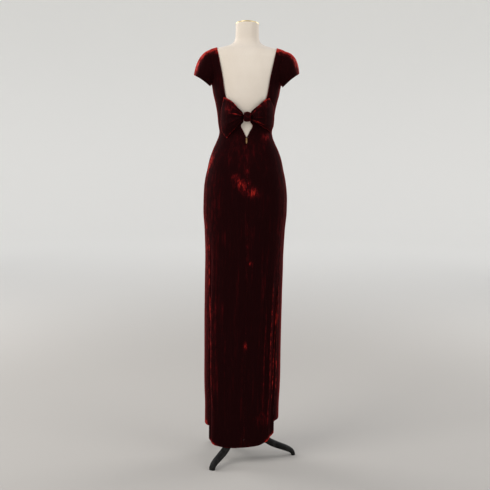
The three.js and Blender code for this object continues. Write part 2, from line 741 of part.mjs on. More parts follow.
// The bow's knot: a short band round the two throats
function bowKnot() {
  const steps = 6;
  const sides = 20;
  const centreY = -(depthAt(BOW.z, false) + KNOT.off);
  const ring = (x, shrink) => {
    const points = [];
    const share = (2 * x) / KNOT.wide;
    const barrel = lerp(1, KNOT.taper, share ** 2);
    for (let k = 0; k < sides; k += 1) {
      const turn = (k / sides) * 2 * Math.PI;
      const ripple = KNOT.pleat * Math.cos(4 * turn) * (1 - share ** 2);
      const tall = (KNOT.tall / 2 + ripple) * barrel - shrink;
      const deep = (KNOT.deep / 2) * barrel - shrink;
      const point = new THREE.Vector3(BOW.middle + x, centreY, BOW.z);
      point.y += deep * Math.sign(Math.sin(turn)) * Math.abs(Math.sin(turn)) ** 0.8;
      point.z += tall * Math.sign(Math.cos(turn)) * Math.abs(Math.cos(turn)) ** 0.8;
      points.push(point);
    }
    return points;
  };
  const places = Array.from({ length: steps + 1 }, (_, i) => KNOT.wide * (i / steps - 0.5));
  return wall(
    places.map((x) => ring(x, 0)),
    places.map((x) => ring(x, WALL)),
    { loop: true },
  );
}

// The dress form: the body's shape inside the cloth, with a plain neck
function formTorso() {
  const sides = 44;
  const levels = [
    900, 960, 1020, 1080, 1130, 1180, 1220, 1260, 1290, 1312, 1335, 1370, 1410, 1450, 1485, 1513, 1545,
    1575, 1600, 1617, 1630, 1640, 1648, 1653, 1657, 1661, 1665, 1670, 1676, 1684, 1691, NECK_START,
    1724, NECK_TOP,
  ];
  const slope = Math.tan(radians(NECK_TILT));
  const positions = [];
  for (const level of levels) {
    const clear = lerp(FORM_CLEAR, SHOULDER_CLEAR, ramp(level, 1600, 1645));
    for (let k = 0; k < sides; k += 1) {
      const angle = (k / sides) * 360;
      const outside = ovalPoint(angle, level);
      const cup = outside.y > 0 && level > WAIST ? relief(angle, outside) : 0;
      const point = outside.addScaledVector(outward(outside), cup - WALL - clear);
      if (level === NECK_TOP || level === FORM_BOTTOM) point.z = level;
      const lean = THREE.MathUtils.clamp((level - NECK_START) / (NECK_TOP - NECK_START), 0, 1);
      point.z -= slope * point.y * lean;
      positions.push(point.x, point.y, point.z);
    }
  }
  return lofted(positions, sides, levels.length);
}

// A closed solid through rings of points, with flat ends
function lofted(positions, sides, rings) {
  const index = [];
  for (let ring = 0; ring < rings - 1; ring += 1) {
    for (let k = 0; k < sides; k += 1) {
      const a = ring * sides + k;
      const b = ring * sides + ((k + 1) % sides);
      index.push(a, b, b + sides, a, b + sides, a + sides);
    }
  }
  const cap = (ring, flip) => {
    const first = ring * sides;
    for (let k = 1; k < sides - 1; k += 1) {
      const face = [first, first + k, first + k + 1];
      index.push(...(flip ? face.reverse() : face));
    }
  };
  cap(0, true);
  cap(rings - 1, false);
  return closed(positions, index);
}

function turned(profile, sides) {
  const outline = profile.map(({ radius, z }) => new THREE.Vector2(radius, z));
  const geometry = new THREE.LatheGeometry(outline, sides);
  geometry.rotateX(Math.PI / 2);
  return welded(geometry);
}

// Joins the points that faces share and drops faces that have no area
function welded(geometry) {
  geometry.deleteAttribute("normal");
  geometry.deleteAttribute("uv");
  const merged = mergeVertices(geometry, 1e-4);
  const faces = [];
  const index = merged.index.array;
  for (let i = 0; i < index.length; i += 3) {
    const [a, b, c] = [index[i], index[i + 1], index[i + 2]];
    if (a !== b && b !== c && a !== c) faces.push(a, b, c);
  }
  return closed([...merged.attributes.position.array], faces);
}

// The neck's cap: a low dome, oval so that it fits the slanted end of the round neck
function neckCap() {
  const profile = [
    { radius: 0, z: 0 },
    { radius: CAP.radius - 0.8, z: 0 },
    { radius: CAP.radius, z: 0.9 },
    { radius: CAP.radius, z: CAP.rim - 1 },
    { radius: CAP.radius - 1.2, z: CAP.rim },
    { radius: CAP.radius * 0.66, z: CAP.rim + CAP.dome * 0.7 },
    { radius: CAP.radius * 0.33, z: CAP.rim + CAP.dome * 0.94 },
    { radius: 0, z: CAP.rim + CAP.dome },
  ];
  const geometry = turned(profile, 36);
  const tilt = radians(NECK_TILT);
  geometry.translate(0, 0, SEAM_GAP);
  geometry.scale(1, 1 / Math.cos(tilt), 1);
  geometry.rotateX(-tilt);
  geometry.translate(0, 0, NECK_TOP);
  return geometry;
}

function pole() {
  const top = FORM_BOTTOM - SEAM_GAP;
  const profile = [
    { radius: 0, z: HUB.top + SEAM_GAP },
    { radius: POLE_RADIUS, z: HUB.top + SEAM_GAP },
    { radius: POLE_RADIUS, z: top - FLANGE.thick },
    { radius: FLANGE.radius, z: top - FLANGE.thick },
    { radius: FLANGE.radius, z: top },
    { radius: 0, z: top },
  ];
  return turned(profile, 24);
}

function hub() {
  const profile = [
    { radius: 0, z: HUB.bottom },
    { radius: HUB.radius * 0.55, z: HUB.bottom },
    { radius: HUB.radius * 0.93, z: HUB.bottom + 7 },
    { radius: HUB.radius, z: HUB.bottom + 14 },
    { radius: HUB.radius, z: HUB.top - 16 },
    { radius: HUB.radius * 0.8, z: HUB.top - 8 },
    { radius: POLE_RADIUS + 4, z: HUB.top },
    { radius: 0, z: HUB.top },
  ];
  return turned(profile, 24);
}

// A cast leg: an oval bar that curves out and down to a flat foot
function leg() {
  const positions = [];
  LEG.forEach((row, i) => {
    const before = LEG[Math.max(i - 1, 0)];
    const after = LEG[Math.min(i + 1, LEG.length - 1)];
    const path = new THREE.Vector2(after.out - before.out, after.up - before.up).normalize();
    if (i === 0) path.set(1, 0);
    if (i === LEG.length - 1) path.set(0, -1);
    for (let k = 0; k < LEG_SIDES; k += 1) {
      const turn = (k / LEG_SIDES) * 2 * Math.PI;
      const rise = (row.tall / 2) * Math.cos(turn);
      const sideways = (row.wide / 2) * Math.sin(turn);
      positions.push(row.out - path.y * rise, sideways, row.up + path.x * rise);
    }
  });
  return lofted(positions, LEG_SIDES, LEG.length);
}

function box(wide, deep, tall, x, y, z) {
  const geometry = new THREE.BoxGeometry(wide, deep, tall);
  geometry.translate(x, y, z);
  return geometry;
}

// One solid from several that overlap
function joined(pieces) {
  const toSolid = (geometry) => {
    const flat = welded(geometry);
    const mesh = new wasm.Mesh({
      numProp: 3,
      vertProperties: new Float32Array(flat.attributes.position.array),
      triVerts: new Uint32Array(flat.index.array),
    });
    return new wasm.Manifold(mesh);
  };
  const mesh = pieces.map(toSolid).reduce((all, piece) => all.add(piece)).getMesh();
  return closed([...mesh.vertProperties], [...mesh.triVerts]);
}

// The zip's slider: a plate with a bridge along it. Its face is the plane y = 0.
function zipSlider() {
  const postPlace = BRIDGE.reach - BRIDGE.post / 2;
  const postDeep = BRIDGE.top + 0.4;
  const postMiddle = -(BRIDGE.top - 0.4) / 2;
  return joined([
    box(SLIDER.wide, SLIDER.thick, SLIDER.tall, 0, SLIDER.thick / 2, 0),
    box(BRIDGE.wide, postDeep, BRIDGE.post, 0, postMiddle, postPlace),
    box(BRIDGE.wide, postDeep, BRIDGE.post, 0, postMiddle, -postPlace),
    box(BRIDGE.wide, BRIDGE.bar, 2 * BRIDGE.reach, 0, -BRIDGE.top + BRIDGE.bar / 2, 0),
  ]);
}

// The zip's pull: a crossbar under the bridge, two arms and a tab, hanging from its axis
function zipPull() {
  const armX = (PULL.wide - PULL.arm) / 2;
  const armLong = PULL.eye + 1;
  const tabLong = PULL.long - PULL.eye;
  return joined([
    box(PULL.wide, PULL.thick, PULL.thick, 0, 0, 0),
    box(PULL.arm, PULL.thick, armLong, armX, 0, -armLong / 2),
    box(PULL.arm, PULL.thick, armLong, -armX, 0, -armLong / 2),
    box(PULL.wide, PULL.thick, tabLong - PULL.end, 0, 0, -PULL.eye - (tabLong - PULL.end) / 2),
    box(PULL.wide * 0.7, PULL.thick, tabLong, 0, 0, -PULL.eye - tabLong / 2),
  ]);
}

function addZip() {
  const seat = ovalPoint(centreBackAngle(SLIDER.z), SLIDER.z);
  const normal = outward(seat);
  const zip = new THREE.Group();
  zip.position.copy(seat).addScaledVector(normal, SLIDER.thick + 1.5 * SEAM_GAP);
  zip.rotation.x = -Math.atan2(normal.z, -normal.y);
  add("zip_slider", zipSlider(), BRASS, zip);
  const pull = add("zip_pull", zipPull(), BRASS, zip);
  pull.position.y = -PIVOT_OFF;
  gown.add(zip);
}

add("skirt_front", skirtFront(), VELVET);
add("skirt_back_left", skirtBack(-1), VELVET);
add("skirt_back_right", skirtBack(1), VELVET);
add("bodice_front", bodiceFront(), VELVET);
add("bodice_back_left", bodiceBack(-1), VELVET);
add("bodice_back_right", bodiceBack(1), VELVET);
add("sleeve_left", sleeve(-1), VELVET);
add("sleeve_right", sleeve(1), VELVET);
add("bow_left", bowHalf(-1), VELVET);
add("bow_right", bowHalf(1), VELVET);
add("bow_knot", bowKnot(), VELVET);
addZip();
add("form_torso", formTorso(), CREAM);
add("neck_cap", neckCap(), BRASS);
add("pole", pole(), IRON);
add("base_hub", hub(), IRON);
for (const [name, turn] of Object.entries(LEG_TURNS)) {
  const mesh = add(name, leg(), IRON);
  mesh.rotation.z = radians(turn);
}

export default gown;
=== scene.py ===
"""Column evening gown in crushed velvet on a limbless dress form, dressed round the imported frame.

Shapes are worked out in millimetres from the same tables as the solids, and the meshes are made
in metres. Angles run round the body in degrees from the wearer's right side by way of the front.
"""
import logging
import math
from dataclasses import dataclass, field
from enum import Enum
from typing import Callable

import bpy
import numpy as np
from mathutils import Matrix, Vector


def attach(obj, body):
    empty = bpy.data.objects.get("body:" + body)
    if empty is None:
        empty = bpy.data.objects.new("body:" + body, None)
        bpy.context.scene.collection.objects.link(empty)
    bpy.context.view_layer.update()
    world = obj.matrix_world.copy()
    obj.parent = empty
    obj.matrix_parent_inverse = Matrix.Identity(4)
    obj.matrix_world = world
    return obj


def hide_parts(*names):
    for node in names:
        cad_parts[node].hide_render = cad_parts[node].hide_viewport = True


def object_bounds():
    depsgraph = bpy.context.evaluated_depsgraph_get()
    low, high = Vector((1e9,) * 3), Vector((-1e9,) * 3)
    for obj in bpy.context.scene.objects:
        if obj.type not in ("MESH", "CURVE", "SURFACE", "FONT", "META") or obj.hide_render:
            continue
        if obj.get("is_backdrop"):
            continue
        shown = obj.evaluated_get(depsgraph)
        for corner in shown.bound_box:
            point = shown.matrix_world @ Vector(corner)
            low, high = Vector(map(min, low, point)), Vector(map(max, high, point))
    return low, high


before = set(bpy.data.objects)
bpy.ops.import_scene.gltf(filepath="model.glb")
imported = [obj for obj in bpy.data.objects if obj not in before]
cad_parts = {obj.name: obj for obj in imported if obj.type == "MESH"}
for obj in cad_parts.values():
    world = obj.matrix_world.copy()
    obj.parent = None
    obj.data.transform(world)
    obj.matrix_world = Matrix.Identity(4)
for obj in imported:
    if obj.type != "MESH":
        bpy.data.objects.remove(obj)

logging.basicConfig(level=logging.INFO, format="%(message)s")
LOG = logging.getLogger("gown")
MM = 0.001
ROOT_BODY = "gown_and_form"
PULL_BODY = "pull"
BACKING_GAP = 0.05  # mm between a strip and the cloth in front of it
ALLOWANCE_THICK = 0.5  # mm
Points = np.ndarray
Table = tuple[tuple[float, ...], ...]
Colour = tuple[float, float, float]


def ramp(value: Points, low: float, high: float) -> Points:
    """Rises smoothly from 0 at low to 1 at high."""
    t = np.clip((value - low) / (high - low), 0.0, 1.0)
    return t * t * (3 - 2 * t)


def bump(distance: Points, width: float) -> Points:
    """A soft bump of height 1 at distance 0."""
    return np.exp(-((distance / width) ** 2))


def lerp(start: Points, end: Points, share: Points) -> Points:
    """A place between start and end."""
    return start + (end - start) * share


def unit(vectors: Points) -> Points:
    """The same directions with length 1."""
    return vectors / np.maximum(np.linalg.norm(vectors, axis=-1, keepdims=True), 1e-9)


class Side(Enum):
    """A side of the gown as the wearer names it."""

    LEFT = -1
    RIGHT = 1


class Edge(Enum):
    """An edge of a cloth piece's grid."""

    FIRST_ROW = "first row"
    LAST_ROW = "last row"
    FIRST_COLUMN = "first column"
    LAST_COLUMN = "last column"


class Curve:
    """A table's column as a smooth curve that never overshoots its rows."""

    def __init__(self, places: tuple[float, ...], values: tuple[float, ...]) -> None:
        """Works out the slope at each row.

        Args:
            places: the rows' places, rising.
            values: the value at each of them.
        """
        self.places = np.asarray(places, float)
        self.values = np.asarray(values, float)
        rise = np.diff(self.values) / np.diff(self.places)
        same = rise[:-1] * rise[1:] > 0
        total = np.where(same, rise[:-1] + rise[1:], 1.0)
        middle = np.where(same, 2 * rise[:-1] * rise[1:] / total, 0.0)
        self.slopes = np.concatenate([rise[:1], middle, rise[-1:]])

    def __call__(self, place: Points) -> Points:
        """The curve's value at one or many places."""
        at = np.clip(place, self.places[0], self.places[-1])
        i = np.clip(np.searchsorted(self.places, at, side="right") - 1, 0, len(self.places) - 2)
        span = self.places[i + 1] - self.places[i]
        t = (at - self.places[i]) / span
        return (
            self.values[i] * (1 + 2 * t) * (1 - t) ** 2
            + span * self.slopes[i] * t * (1 - t) ** 2
            + self.values[i + 1] * t * t * (3 - 2 * t)
            + span * self.slopes[i + 1] * t * t * (t - 1)
        )


def column(table: Table, number: int) -> Curve:
    """One column of a table as a curve along its first column."""
    return Curve(tuple(row[0] for row in table), tuple(row[number] for row in table))


@dataclass
class Crease:
    """A soft ridge or trough that runs down the cloth, with a painted highlight along it where its pile lies
    over.
    """

    top_angle: float
    top_z: float
    low_angle: float
    low_z: float
    proud: float
    wide: float
    nap: float = 0.0

    def at(self, angle: Points, z: Points) -> tuple[Points, Points]:
        """How far the crease stands out, and how strong its painted highlight is.

        Args:
            angle: angles round the body, in degrees.
            z: heights, in mm.

        Returns:
            The height of the crease in mm, and its painted highlight from 0 to 1.
        """
        down = (self.top_z - z) / (self.top_z - self.low_z)
        fade = ramp(down, -0.04, 0.2) * (1 - ramp(down, 0.72, 1.04))
        sway = 0.35 * self.wide * np.sin(down * 7 + self.top_angle)
        place = lerp(self.top_angle, self.low_angle, np.clip(down, 0, 1)) + sway
        turn = (angle - place + 540) % 360 - 180
        return self.proud * fade * bump(turn, self.wide), self.nap * fade * bump(turn, 0.55 * self.wide)


@dataclass
class Patch:
    """A spot where the pile is pressed, with painted sheen in its colour, longer one way than the other."""

    angle: float
    z: float
    long: float
    wide: float
    lean: float
    nap: float
    proud: float = 0.0
    degree_mm: float = 1.9

    def at(self, angle: Points, z: Points) -> tuple[Points, Points]:
        """How far the spot stands out, and how strong its painted sheen is, as for a crease."""
        across = ((angle - self.angle + 540) % 360 - 180) * self.degree_mm
        up = z - self.z
        turn = math.radians(self.lean)
        along = across * math.cos(turn) + up * math.sin(turn)
        aside = up * math.cos(turn) - across * math.sin(turn)
        shape = np.exp(-((along / self.long) ** 2) - (aside / self.wide) ** 2)
        return self.proud * shape, self.nap * shape


@dataclass
class Body:
    """The gown's outside: oval sections, the bust, hanging folds, and the painted sheen of creases and
    pressed pile.
    """

    roundness: float = 2.3
    sections: Table = (
        (60, 149.5, 124, 98), (215, 149.5, 124, 98), (290, 152.5, 124, 98.5), (360, 154, 124, 99),
        (600, 154.5, 124.5, 100), (820, 154, 125.5, 102), (940, 158, 127, 105), (1020, 164, 128, 107),
        (1060, 164, 128, 107), (1100, 163, 126, 106), (1140, 159, 122, 104), (1180, 150.5, 116, 102),
        (1220, 142, 107, 99), (1260, 128.5, 96, 94.5), (1290, 115.5, 87, 91), (1312, 107, 81.5, 89),
        (1330, 104.5, 80, 89), (1360, 109, 83, 92), (1400, 113.5, 87, 101), (1440, 120, 92, 114),
        (1480, 130, 97, 123), (1513, 136.5, 100, 121), (1545, 148, 100, 112), (1575, 163, 98, 100),
        (1604, 173, 93, 88), (1626, 170, 87, 79), (1641, 160, 81, 73), (1652, 142, 76, 69),
        (1659, 119, 72, 66), (1665, 92, 66, 62), (1673, 66, 58, 56), (1684, 53, 52, 51),
        (1700, 48.5, 48.5, 48.5), (1760, 47, 47, 47),
    )
    cup_across: float = 68
    cup_z: float = 1478
    cup_wide: float = 40
    cup_tall: float = 48
    cup_proud: float = 11
    fold_fade: float = 260
    # share of a crease's own painted highlight that shows
    crease_painted_sheen: float = 0.5
    # angle at the top, angle at the hem, height it starts from, proud, wide
    folds: Table = (
        (317, 309, 860, 3.2, 4.5), (322, 318, 820, -2.4, 3.5), (221, 226, 980, 2.6, 5),
        (214, 217, 1000, -2.2, 3.5), (251, 246, 760, -1.6, 6), (288, 292, 700, 1.8, 7),
        (150, 146, 900, 2.8, 6), (118, 122, 820, -2.2, 7), (74, 68, 860, 2.4, 7), (32, 36, 900, -2.4, 6),
    )
    # each crease's last number is its painted highlight
    creases: tuple[Crease, ...] = (
        Crease(208.5, 930, 214, 560, 1.6, 2.0, 0.75), Crease(213.6, 700, 223, 200, 1.8, 1.9, 0.8),
        Crease(202, 1150, 205, 640, 1.2, 4.0, 0.35), Crease(219, 880, 229, 300, -1.3, 3.0, 0.0),
        Crease(228, 760, 233, 180, 1.0, 3.2, 0.16), Crease(241, 820, 246, 330, 0.8, 3.4, 0.08),
        Crease(328, 720, 317, 190, 1.9, 1.5, 1.0), Crease(316, 800, 309, 120, 1.7, 1.7, 0.9),
        Crease(322, 640, 314, 230, -1.6, 2.0, 0.0), Crease(303, 690, 300, 110, 1.1, 2.2, 0.4),
        Crease(333, 1120, 334, 700, 0.9, 3.0, 0.25), Crease(294, 900, 293, 420, 0.7, 2.4, 0.14),
        Crease(279, 1050, 279, 700, 0.5, 2.0, 0.16), Crease(283, 620, 285, 210, -0.7, 3.0, 0.05),
        Crease(262, 700, 258, 260, 0.6, 3.0, 0.08), Crease(196, 1290, 202, 1120, 1.3, 4.5, 0.5),
        Crease(12, 980, 16, 330, 1.6, 3.4, 0.35), Crease(24, 760, 22, 210, -1.4, 3.2, 0.1),
        Crease(47, 830, 52, 250, 1.3, 3.6, 0.3), Crease(84, 720, 82, 190, -1.1, 4.0, 0.05),
        Crease(101, 880, 97, 300, 1.0, 3.8, 0.22), Crease(132, 790, 136, 220, -1.2, 3.6, 0.1),
        Crease(163, 960, 160, 280, 1.5, 3.2, 0.4), Crease(178, 1080, 184, 420, 1.2, 3.6, 0.4),
    )
    # painted sheen: pressed pile and highlights across the back, at the waist, hip, hem corner and sleeve,
    # and long bands down both sides where the light grazes; the last patch only dents the cloth
    patches: tuple[Patch, ...] = (
        Patch(257, 1170, 15, 12, -50, 0.13, 0.3), Patch(262, 1152, 20, 13, -56, 0.18, 0.3),
        Patch(267, 1133, 24, 15, -50, 0.21, 0.4), Patch(273, 1113, 24, 17, -40, 0.24, 0.3),
        Patch(279, 1099, 17, 15, -20, 0.22, 0.3), Patch(272, 1184, 6, 30, 0, 0.14),
        Patch(277.8, 821, 5, 8, 0, 0.42, 0.6), Patch(273.5, 490, 3.4, 13, 0, 0.42, 0.8),
        Patch(201, 1208, 36, 14, 72, 0.55, 0.6), Patch(318, 1312, 26, 18, 0, 0.26, 0.4),
        Patch(274, 900, 7, 210, 0, 0.06), Patch(266, 1262, 34, 66, 0, 0.06),
        Patch(240, 1270, 44, 60, 0, 0.05),
        Patch(302, 1270, 40, 60, 0, 0.05), Patch(218, 700, 24, 560, 0, 0.1), Patch(326, 880, 16, 330, 0, 0.1),
        Patch(300, 190, 26, 34, 0, 0.14), Patch(232, 1060, 30, 120, 0, 0.04),
        Patch(228, 1330, 18, 7, -8, 0.2, 0.3), Patch(350, 1486, 13, 20, 0, 0.5),
        Patch(188, 1468, 8, 60, 0, 0.22),
        Patch(196, 720, 24, 480, 0, 0.16), Patch(353, 820, 10, 420, 0, 0.16),
        Patch(78, 1128, 30, 12, 52, 0.3, 0.3), Patch(104, 1176, 22, 10, -40, 0.2, 0.3),
        Patch(28, 1190, 26, 10, 64, 0.2, 0.3), Patch(150, 1216, 24, 10, -60, 0.25, 0.3),
        Patch(118, 640, 8, 30, 0, 0.2, 0.4), Patch(52, 520, 7, 26, 0, 0.2, 0.4),
        Patch(199, 152, 18, 14, 0, 0.6, 0.4), Patch(186, 1250, 8, 14, 0, 0.0, -2.2),
    )

    right_side: Table = (
        (60, 3.5), (330, 3), (480, 1.8), (680, 3), (800, 5), (1060, 5.2), (1150, 2.5), (1240, 2),
        (1295, 0), (1760, 0),
    )

    def __post_init__(self) -> None:
        """Makes the sections' curves and adds the small, seeded folds."""
        self.half = column(self.sections, 1)
        self.right_more = column(self.right_side, 1)
        self.back = column(self.sections, 2)
        self.front = column(self.sections, 3)
        draw = np.random.default_rng(41)
        small = []
        for _ in range(64):
            angle = draw.uniform(0, 360)
            top = draw.uniform(420, 1180)
            long = draw.uniform(180, 620)
            proud = draw.uniform(0.25, 0.8) * draw.choice([-1, 1])
            # each small fold also carries a faint painted highlight
            small.append(
                Crease(
                    angle, top, angle + draw.uniform(-4, 4), max(top - long, 90), proud,
                    draw.uniform(1.1, 2.8), draw.uniform(0, 0.12),
                )
            )
        self.small_creases = tuple(small)

    def width(self, z: Points, is_right: Points) -> Points:
        """How far the left or the right side stands from the middle."""
        return self.half(z) + np.where(is_right, self.right_more(z), 0.0)

    def depth(self, z: Points, is_front: Points) -> Points:
        """How far the front or the back stands from the middle."""
        return np.where(is_front, self.front(z), self.back(z))

    def oval(self, angle: Points, z: Points) -> Points:
        """Points of the plain outside, from their angles and heights."""
        cos, sin = np.cos(np.radians(angle)), np.sin(np.radians(angle))
        power = 2 / self.roundness
        x = np.sign(cos) * np.abs(cos) ** power * self.width(z, cos > 0)
        y = np.sign(sin) * np.abs(sin) ** power * self.depth(z, sin > 0)
        return np.stack(np.broadcast_arrays(x, y, z), axis=-1).astype(float)

    def angle_across(self, x: Points, z: Points, is_front: bool) -> Points:
        """The angle at which the body is x across, on its back or its front."""
        share = np.clip(np.abs(x) / self.width(z, np.asarray(x) > 0), 0, 1)
        turn = np.degrees(np.arccos(share ** (self.roundness / 2)))
        from_side = turn if is_front else -turn
        return np.where(np.asarray(x) >= 0, (from_side + 360) % 360, 180 - from_side)

    def outward(self, points: Points) -> Points:
        """The outward direction of the plain outside at each point."""
        x, y, z = points[..., 0], points[..., 1], points[..., 2]
        step, power = 0.5, self.roundness
        half, depth = self.width(z, x > 0), self.depth(z, y > 0)

        def inside(at: Points) -> Points:
            """The section's equation at a height, 1 on the outside."""
            return (np.abs(x) / self.width(at, x > 0)) ** power + (np.abs(y) / self.depth(at, y > 0)) ** power

        slope = (inside(z + step) - inside(z - step)) / (2 * step)
        along_x = np.sign(x) * power * np.abs(x) ** (power - 1) / half**power
        along_y = np.sign(y) * power * np.abs(y) ** (power - 1) / depth**power
        return unit(np.stack([along_x, along_y, slope], axis=-1))

    def cups(self, points: Points) -> Points:
        """How far the bust stands out in front."""
        across = bump(np.abs(points[..., 0]) - self.cup_across, self.cup_wide)
        shape = self.cup_proud * across * bump(points[..., 2] - self.cup_z, self.cup_tall)
        return np.where(points[..., 1] > 0, shape, 0.0)

    def relief(self, angle: Points, points: Points) -> Points:
        """How far the bust and the hanging folds stand out."""
        z = points[..., 2]
        proud = self.cups(points)
        for top, hem, start, height, wide in self.folds:
            down = np.clip((start - z) / start, 0, 1)
            turn = (angle - lerp(top, hem, down) + 540) % 360 - 180
            proud = proud + height * (1 - ramp(z, start - self.fold_fade, start)) * bump(turn, wide)
        return proud

    def cloth(self, angle: Points, z: Points) -> tuple[Points, Points]:
        """The cloth's outer points and the painted sheen at each.

        Args:
            angle: angles round the body, in degrees.
            z: heights, in mm.

        Returns:
            The points in mm, and painted sheen from 0 to about 1.
        """
        angle, z = np.broadcast_arrays(angle, z)
        plain = self.oval(angle, z)
        proud = self.relief(angle, plain)
        nap = np.zeros_like(proud)
        # creases and patches add painted sheen as well as relief
        for crease in (*self.creases, *self.small_creases):
            height, painted_highlight = crease.at(angle, z)
            proud = proud + height
            nap = nap + self.crease_painted_sheen * painted_highlight
        for patch in self.patches:
            height, painted_highlight = patch.at(angle, z)
            proud = proud + height
            nap = nap + painted_highlight
        return plain + self.outward(plain) * proud[..., None], nap


@dataclass
class Cloth:
    """A cloth piece as a grid of outer points in mm, with a wall behind it."""

    name: str
    outer: Points
    outward: Points
    nap: Points
    thick: float = 1.4
    seams: tuple[Edge, ...] = ()
    free: tuple[Edge, ...] = ()
    keep: Points | None = None
    loop: bool = False
    seam_gap: float = 0.08
    roll: float = 1.1
    seam_roll: float = 0.5
    pucker: float = 0.3

    def _from_edge(self, edge: Edge) -> Points:
        """How far along the cloth each point is from an edge, in mm."""
        axis = 0 if edge in (Edge.FIRST_ROW, Edge.LAST_ROW) else 1
        steps = np.linalg.norm(np.diff(self.outer, axis=axis), axis=-1)
        first = np.zeros_like(np.take(steps, [0], axis=axis))
        run = np.concatenate([first, np.cumsum(steps, axis=axis)], axis=axis)
        if edge in (Edge.FIRST_ROW, Edge.FIRST_COLUMN):
            return run
        return np.take(run, [-1], axis=axis) - run

    def _shaped(self) -> tuple[Points, Points, Points]:
        """The outer points with their edges rolled and puckered, the inner ones, and the painted sheen."""
        outer, nap = self.outer.copy(), self.nap.copy()
        rolled = np.zeros(nap.shape)
        for edge in self.seams + self.free:
            gone = self._from_edge(edge)
            roll = self.roll if edge in self.free else self.seam_roll
            short = np.clip(roll - gone, 0, roll)
            rolled = np.maximum(rolled, roll - np.sqrt(np.maximum(roll**2 - short**2, 0)))
            # painted highlight along free edges, where a turned edge catches the light, and fainter along
            # seams
            nap = nap + (0.3 if edge in self.free else 0.03) * np.exp(-gone / 2.5)
            if edge in self.seams:
                run = self.outer[..., 2] + 0.7 * self.outer[..., 0]
                wave = np.sin(run / 5.3 + 1.7 * np.sin(run / 23)) * (0.6 + 0.4 * np.sin(run / 61))
                rolled = rolled + self.pucker * (1 + wave) * bump(gone, 7)
                # painted highlight on the puckers' crests
                nap = nap + 0.06 * np.clip(wave, 0, 1) * bump(gone, 5)
        inner = outer - self.outward * self.thick
        outer = outer - self.outward * np.minimum(rolled, 0.8 * self.thick)[..., None]
        self._draw_back(outer, inner)
        return outer, inner, np.clip(nap, 0, 1.2)

    def _draw_back(self, outer: Points, inner: Points) -> None:
        """Moves the seams' edges back by half the gap, so that neighbours stay apart."""
        places = {
            Edge.FIRST_ROW: (np.s_[0], np.s_[1]),
            Edge.LAST_ROW: (np.s_[-1], np.s_[-2]),
            Edge.FIRST_COLUMN: (np.s_[:, 0], np.s_[:, 1]),
            Edge.LAST_COLUMN: (np.s_[:, -1], np.s_[:, -2]),
        }
        for edge in self.seams:
            here, next_to = places[edge]
            step = unit(self.outer[next_to] - self.outer[here]) * self.seam_gap / 2
            outer[here] += step
            inner[here] += step

    def backing(
        self, name: str, rows: slice, columns: slice | Points, thick: float = ALLOWANCE_THICK
    ) -> bpy.types.Object:
        """A thin strip on the wrong side: an allowance or a turned hem.

        Args:
            name: the strip's name.
            rows: the rows of the grid that it covers.
            columns: the columns that it covers.
            thick: its thickness, in mm.

        Returns:
            The new object.
        """
        outward = self.outward[rows][:, columns]
        face = self.outer[rows][:, columns] - outward * (self.thick + BACKING_GAP)
        return strip(name, face, outward, thick)

    def stitches(self, name: str, row: int, pitch: float, deep: float) -> bpy.types.Object:
        """Short hand stitches along a row of the grid, on the wrong side.

        Args:
            name: the stitches' name.
            row: the row that they follow.
            pitch: from one to the next, in mm.
            deep: how far behind the face they lie, in mm.

        Returns:
            The new object.
        """
        line = self.outer[row] - self.outward[row] * deep
        run = np.concatenate([[0.0], np.cumsum(np.linalg.norm(np.diff(line, axis=0), axis=1))])
        at = np.arange(pitch, run[-1] - pitch, pitch)
        middles = np.stack([np.interp(at, run, line[:, i]) for i in range(3)], axis=-1)
        out = np.stack([np.interp(at, run, self.outward[row][:, i]) for i in range(3)], axis=-1)
        along = unit(np.gradient(middles, axis=0) + np.array([0, 0, 1.2]))
        return small_boxes(name, middles, along, unit(out), (1.5, 0.18, 0.18))

    def build(self) -> bpy.types.Object:
        """Makes the closed wall as a smooth mesh with the painted sheen on its points.

        Returns:
            The new object, with its first material on the face and its second on the wrong side.
        """
        outer, inner, nap = self._shaped()
        rows, columns = nap.shape
        cells = columns if self.loop else columns - 1
        keep = np.ones((rows - 1, cells), bool) if self.keep is None else self.keep
        padded = np.zeros((rows + 1, cells + 2), bool)
        padded[1:-1, 1:-1] = keep
        if self.loop:
            padded[1:-1, 0], padded[1:-1, -1] = keep[:, -1], keep[:, 0]
        row, cell = np.nonzero(keep)

        def at(r: Points, c: Points, layer: int) -> Points:
            """Numbers of points in the list of both layers."""
            return (layer * rows + r) * columns + c % columns

        def quad(*corners: Points) -> Points:
            """Faces from their four corners."""
            return np.stack(corners, axis=-1)

        def rim(bare: Points, r1: int, c1: int, r2: int, c2: int) -> Points:
            """Faces that close the wall along one side of the bare cells."""
            r, c = row[bare], cell[bare]
            return quad(
                at(r + r1, c + c1, 1), at(r + r2, c + c2, 1), at(r + r2, c + c2, 0), at(r + r1, c + c1, 0)
            )

        face = quad(at(row, cell, 0), at(row, cell + 1, 0), at(row + 1, cell + 1, 0), at(row + 1, cell, 0))
        wrong = quad(at(row, cell, 1), at(row + 1, cell, 1), at(row + 1, cell + 1, 1), at(row, cell + 1, 1))
        rims = [
            rim(~padded[row, cell + 1], 0, 0, 0, 1),
            rim(~padded[row + 2, cell + 1], 1, 1, 1, 0),
            rim(~padded[row + 1, cell], 1, 0, 0, 0),
            rim(~padded[row + 1, cell + 2], 0, 1, 1, 1),
        ]
        faces = np.concatenate([face, *rims, wrong])
        points = np.concatenate([outer.reshape(-1, 3), inner.reshape(-1, 3)])
        painted_sheens = np.concatenate([nap.ravel(), np.zeros(nap.size)])
        sides = np.concatenate([np.zeros(len(faces) - len(wrong)), np.ones(len(wrong))])
        return mesh_object(self.name, points, faces, painted_sheens, sides)


